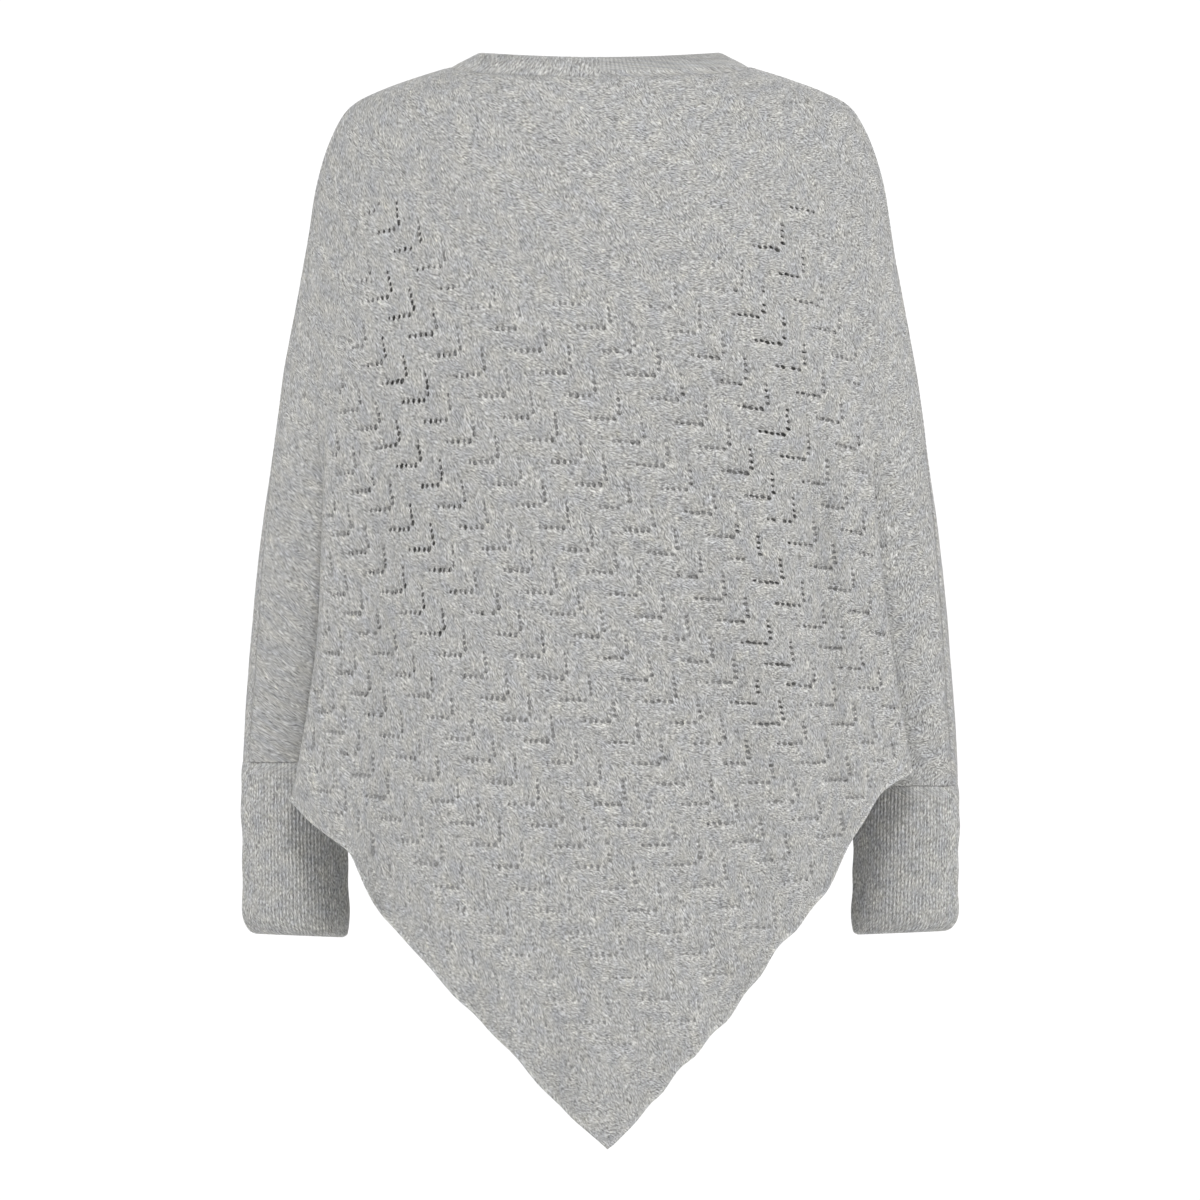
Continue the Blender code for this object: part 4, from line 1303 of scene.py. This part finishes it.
# The last two tones of each wool are painted light and shade: the knit lighter beside the lace and
# along the hem, the ribs darker in their grooves and lighter on their ridges.
knit = wool("melange_knit_wool", 0.462, HATCH, (3.2, 0.5), 0.4, 0.96, (1.0, 1.20))
rib = wool("melange_rib_wool", 0.46, (np.radians(84),), (2.6, 0.75), 0.25, 0.74, (0.84, 1.14))
nap = nap_wool("melange_nap_fibres", 0.46)



def metres(length, digits=3):
    return round(float(length) * MM, digits)


def round_the(loop):
    """Length of a closed loop of points."""
    return lengths(np.diff(loop, axis=0, append=loop[:1])).sum()


def add_sheet(name, stands_for, material, slot, knitted, fuzz, **cut):
    """A knitted piece and its nap in place of a solid, which is hidden."""
    points, faces, places, values = knitted
    piece = add_piece(f"{name}_knit", points, faces, material, values, places)
    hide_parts(stands_for)
    points, faces, tone_and_painted_shade = fuzz
    nap_piece = add_piece(f"{name}_nap", points, faces, nap, {"tone_and_painted_shade": tone_and_painted_shade})


PANEL_NAP = {"back": 46000, "front": 36000}
CUFF_NAP, CUFF_NAP_SPREAD = 7000, 0.45
BAND_NAP, BAND_NAP_SPREAD = 5000, 0.5
panels = {name: Panel(name) for name in ("back", "front")}
lace = {name: lace_holes(panel) for name, panel in panels.items()}
lace["back"] = backed(lace["back"], panels["back"], panels["front"])
behind = panels["back"].point(*lace["back"][:2])[0], lace["back"][2]
lace["front"] = clear_of(panels["front"], lace["front"], behind)
for name, panel in panels.items():
    add_sheet(
        name,
        f"{name}_panel",
        knit,
        "melange_knit",
        panel_mesh(panel, lace[name]),
        joined(panel_nap(panel, PANEL_NAP[name]), hole_veil(panel, lace[name])),
        flat=(metres(panel.across.max() - panel.across.min()), metres(panel.length.max())),
        held="draped",
        area=round(panel.area * MM * MM, 4),
    )

for side in ("left", "right"):
    middle, normal, down = cuff_points(side)
    add_sheet(
        f"{side}_cuff",
        f"cuff_{side}",
        rib,
        "melange_rib",
        cuff_mesh(middle, normal, down),
        tube_nap(middle, normal, CUFF_NAP, CUFF_NAP_SPREAD),
        flat=(metres(round_the(middle[0])), metres(down[-1])),
        held="gathered",
    )

middle, normal = band_points()
add_sheet(
    "neckband",
    "neckband",
    rib,
    "melange_rib",
    band_mesh(middle, normal),
    tube_nap(middle, normal, BAND_NAP, BAND_NAP_SPREAD),
    flat=(metres(round_the(middle[-1])), metres(lengths(middle[0] - middle[-1]).mean(), 4)),
    held="stretched",
)

# ---------------------------------------------------------------- floor, light and camera

FLOOR_HEIGHT, FLOOR_HALF = -1.40, 14.0
floor_mesh = bpy.data.meshes.new("floor")
corners = ((-1, -1), (1, -1), (1, 1), (-1, 1))
floor_mesh.from_pydata(
    [(x * FLOOR_HALF, y * FLOOR_HALF, FLOOR_HEIGHT) for x, y in corners], [], [(0, 1, 2, 3)]
)
floor = bpy.data.objects.new("floor", floor_mesh)
pale = {"Base Color": (0.80, 0.80, 0.795, 1), "Roughness": 1.0}
floor_mesh.materials.append(new_material("pale_floor", pale)[0])
bpy.context.scene.collection.objects.link(floor)

# A studio that is white round the horizon and dimmer above.
world = bpy.data.worlds.new("studio")
bpy.context.scene.world = world
world.use_nodes = True
tree = world.node_tree
toward = node(tree, "ShaderNodeTexCoord").outputs["Generated"]
rise = node(tree, "ShaderNodeSeparateXYZ", {0: toward}).outputs["Z"]
rise = node(tree, "ShaderNodeMapRange", {"Value": rise, "From Min": -1.0}).outputs["Result"]
sky = ramp(
    tree,
    rise,
    (0.474, (0.27, 0.27, 0.27)),
    (0.484, (1, 1, 1)),
    (0.516, (1, 1, 1)),
    (0.526, (0.27, 0.27, 0.272)),
)
background = tree.nodes["Background"]
tree.links.new(sky, background.inputs["Color"])
background.inputs["Strength"].default_value = 1.07


def soft_light(name, place, size, power, colour=(1, 1, 1)):
    data = bpy.data.lights.new(name, "AREA")
    data.color = colour
    data.shape = "SQUARE"
    data.size = size
    data.energy = power
    light = bpy.data.objects.new(name, data)
    light.location = place
    light.rotation_euler = (Vector((0, 0, -0.4)) - Vector(place)).to_track_quat("-Z", "Y").to_euler()
    bpy.context.scene.collection.objects.link(light)


WARM = (1.0, 0.992, 0.975)
soft_light("key", (-3.4, 1.4, 0.8), 2.0, 50, WARM)
soft_light("second", (3.4, 1.4, 0.8), 2.0, 47, WARM)
soft_light("top", (-0.4, 4.6, 4.9), 1.8, 190)
soft_light("front", (0.0, -3.9, 1.5), 2.6, 88)

CAMERA_DISTANCE, CAMERA_HEIGHT = 30.0, -0.372
FRAME_SIZE, SENSOR = 0.876, 36.0
camera_data = bpy.data.cameras.new("camera")
camera_data.sensor_width = SENSOR
camera_data.lens = SENSOR * CAMERA_DISTANCE / FRAME_SIZE
camera = bpy.data.objects.new("camera", camera_data)
camera.location = (0, CAMERA_DISTANCE, CAMERA_HEIGHT)
camera.rotation_euler = (np.pi / 2, 0, np.pi)
bpy.context.scene.collection.objects.link(camera)
bpy.context.scene.camera = camera
bpy.context.scene.view_settings.view_transform = "Standard"
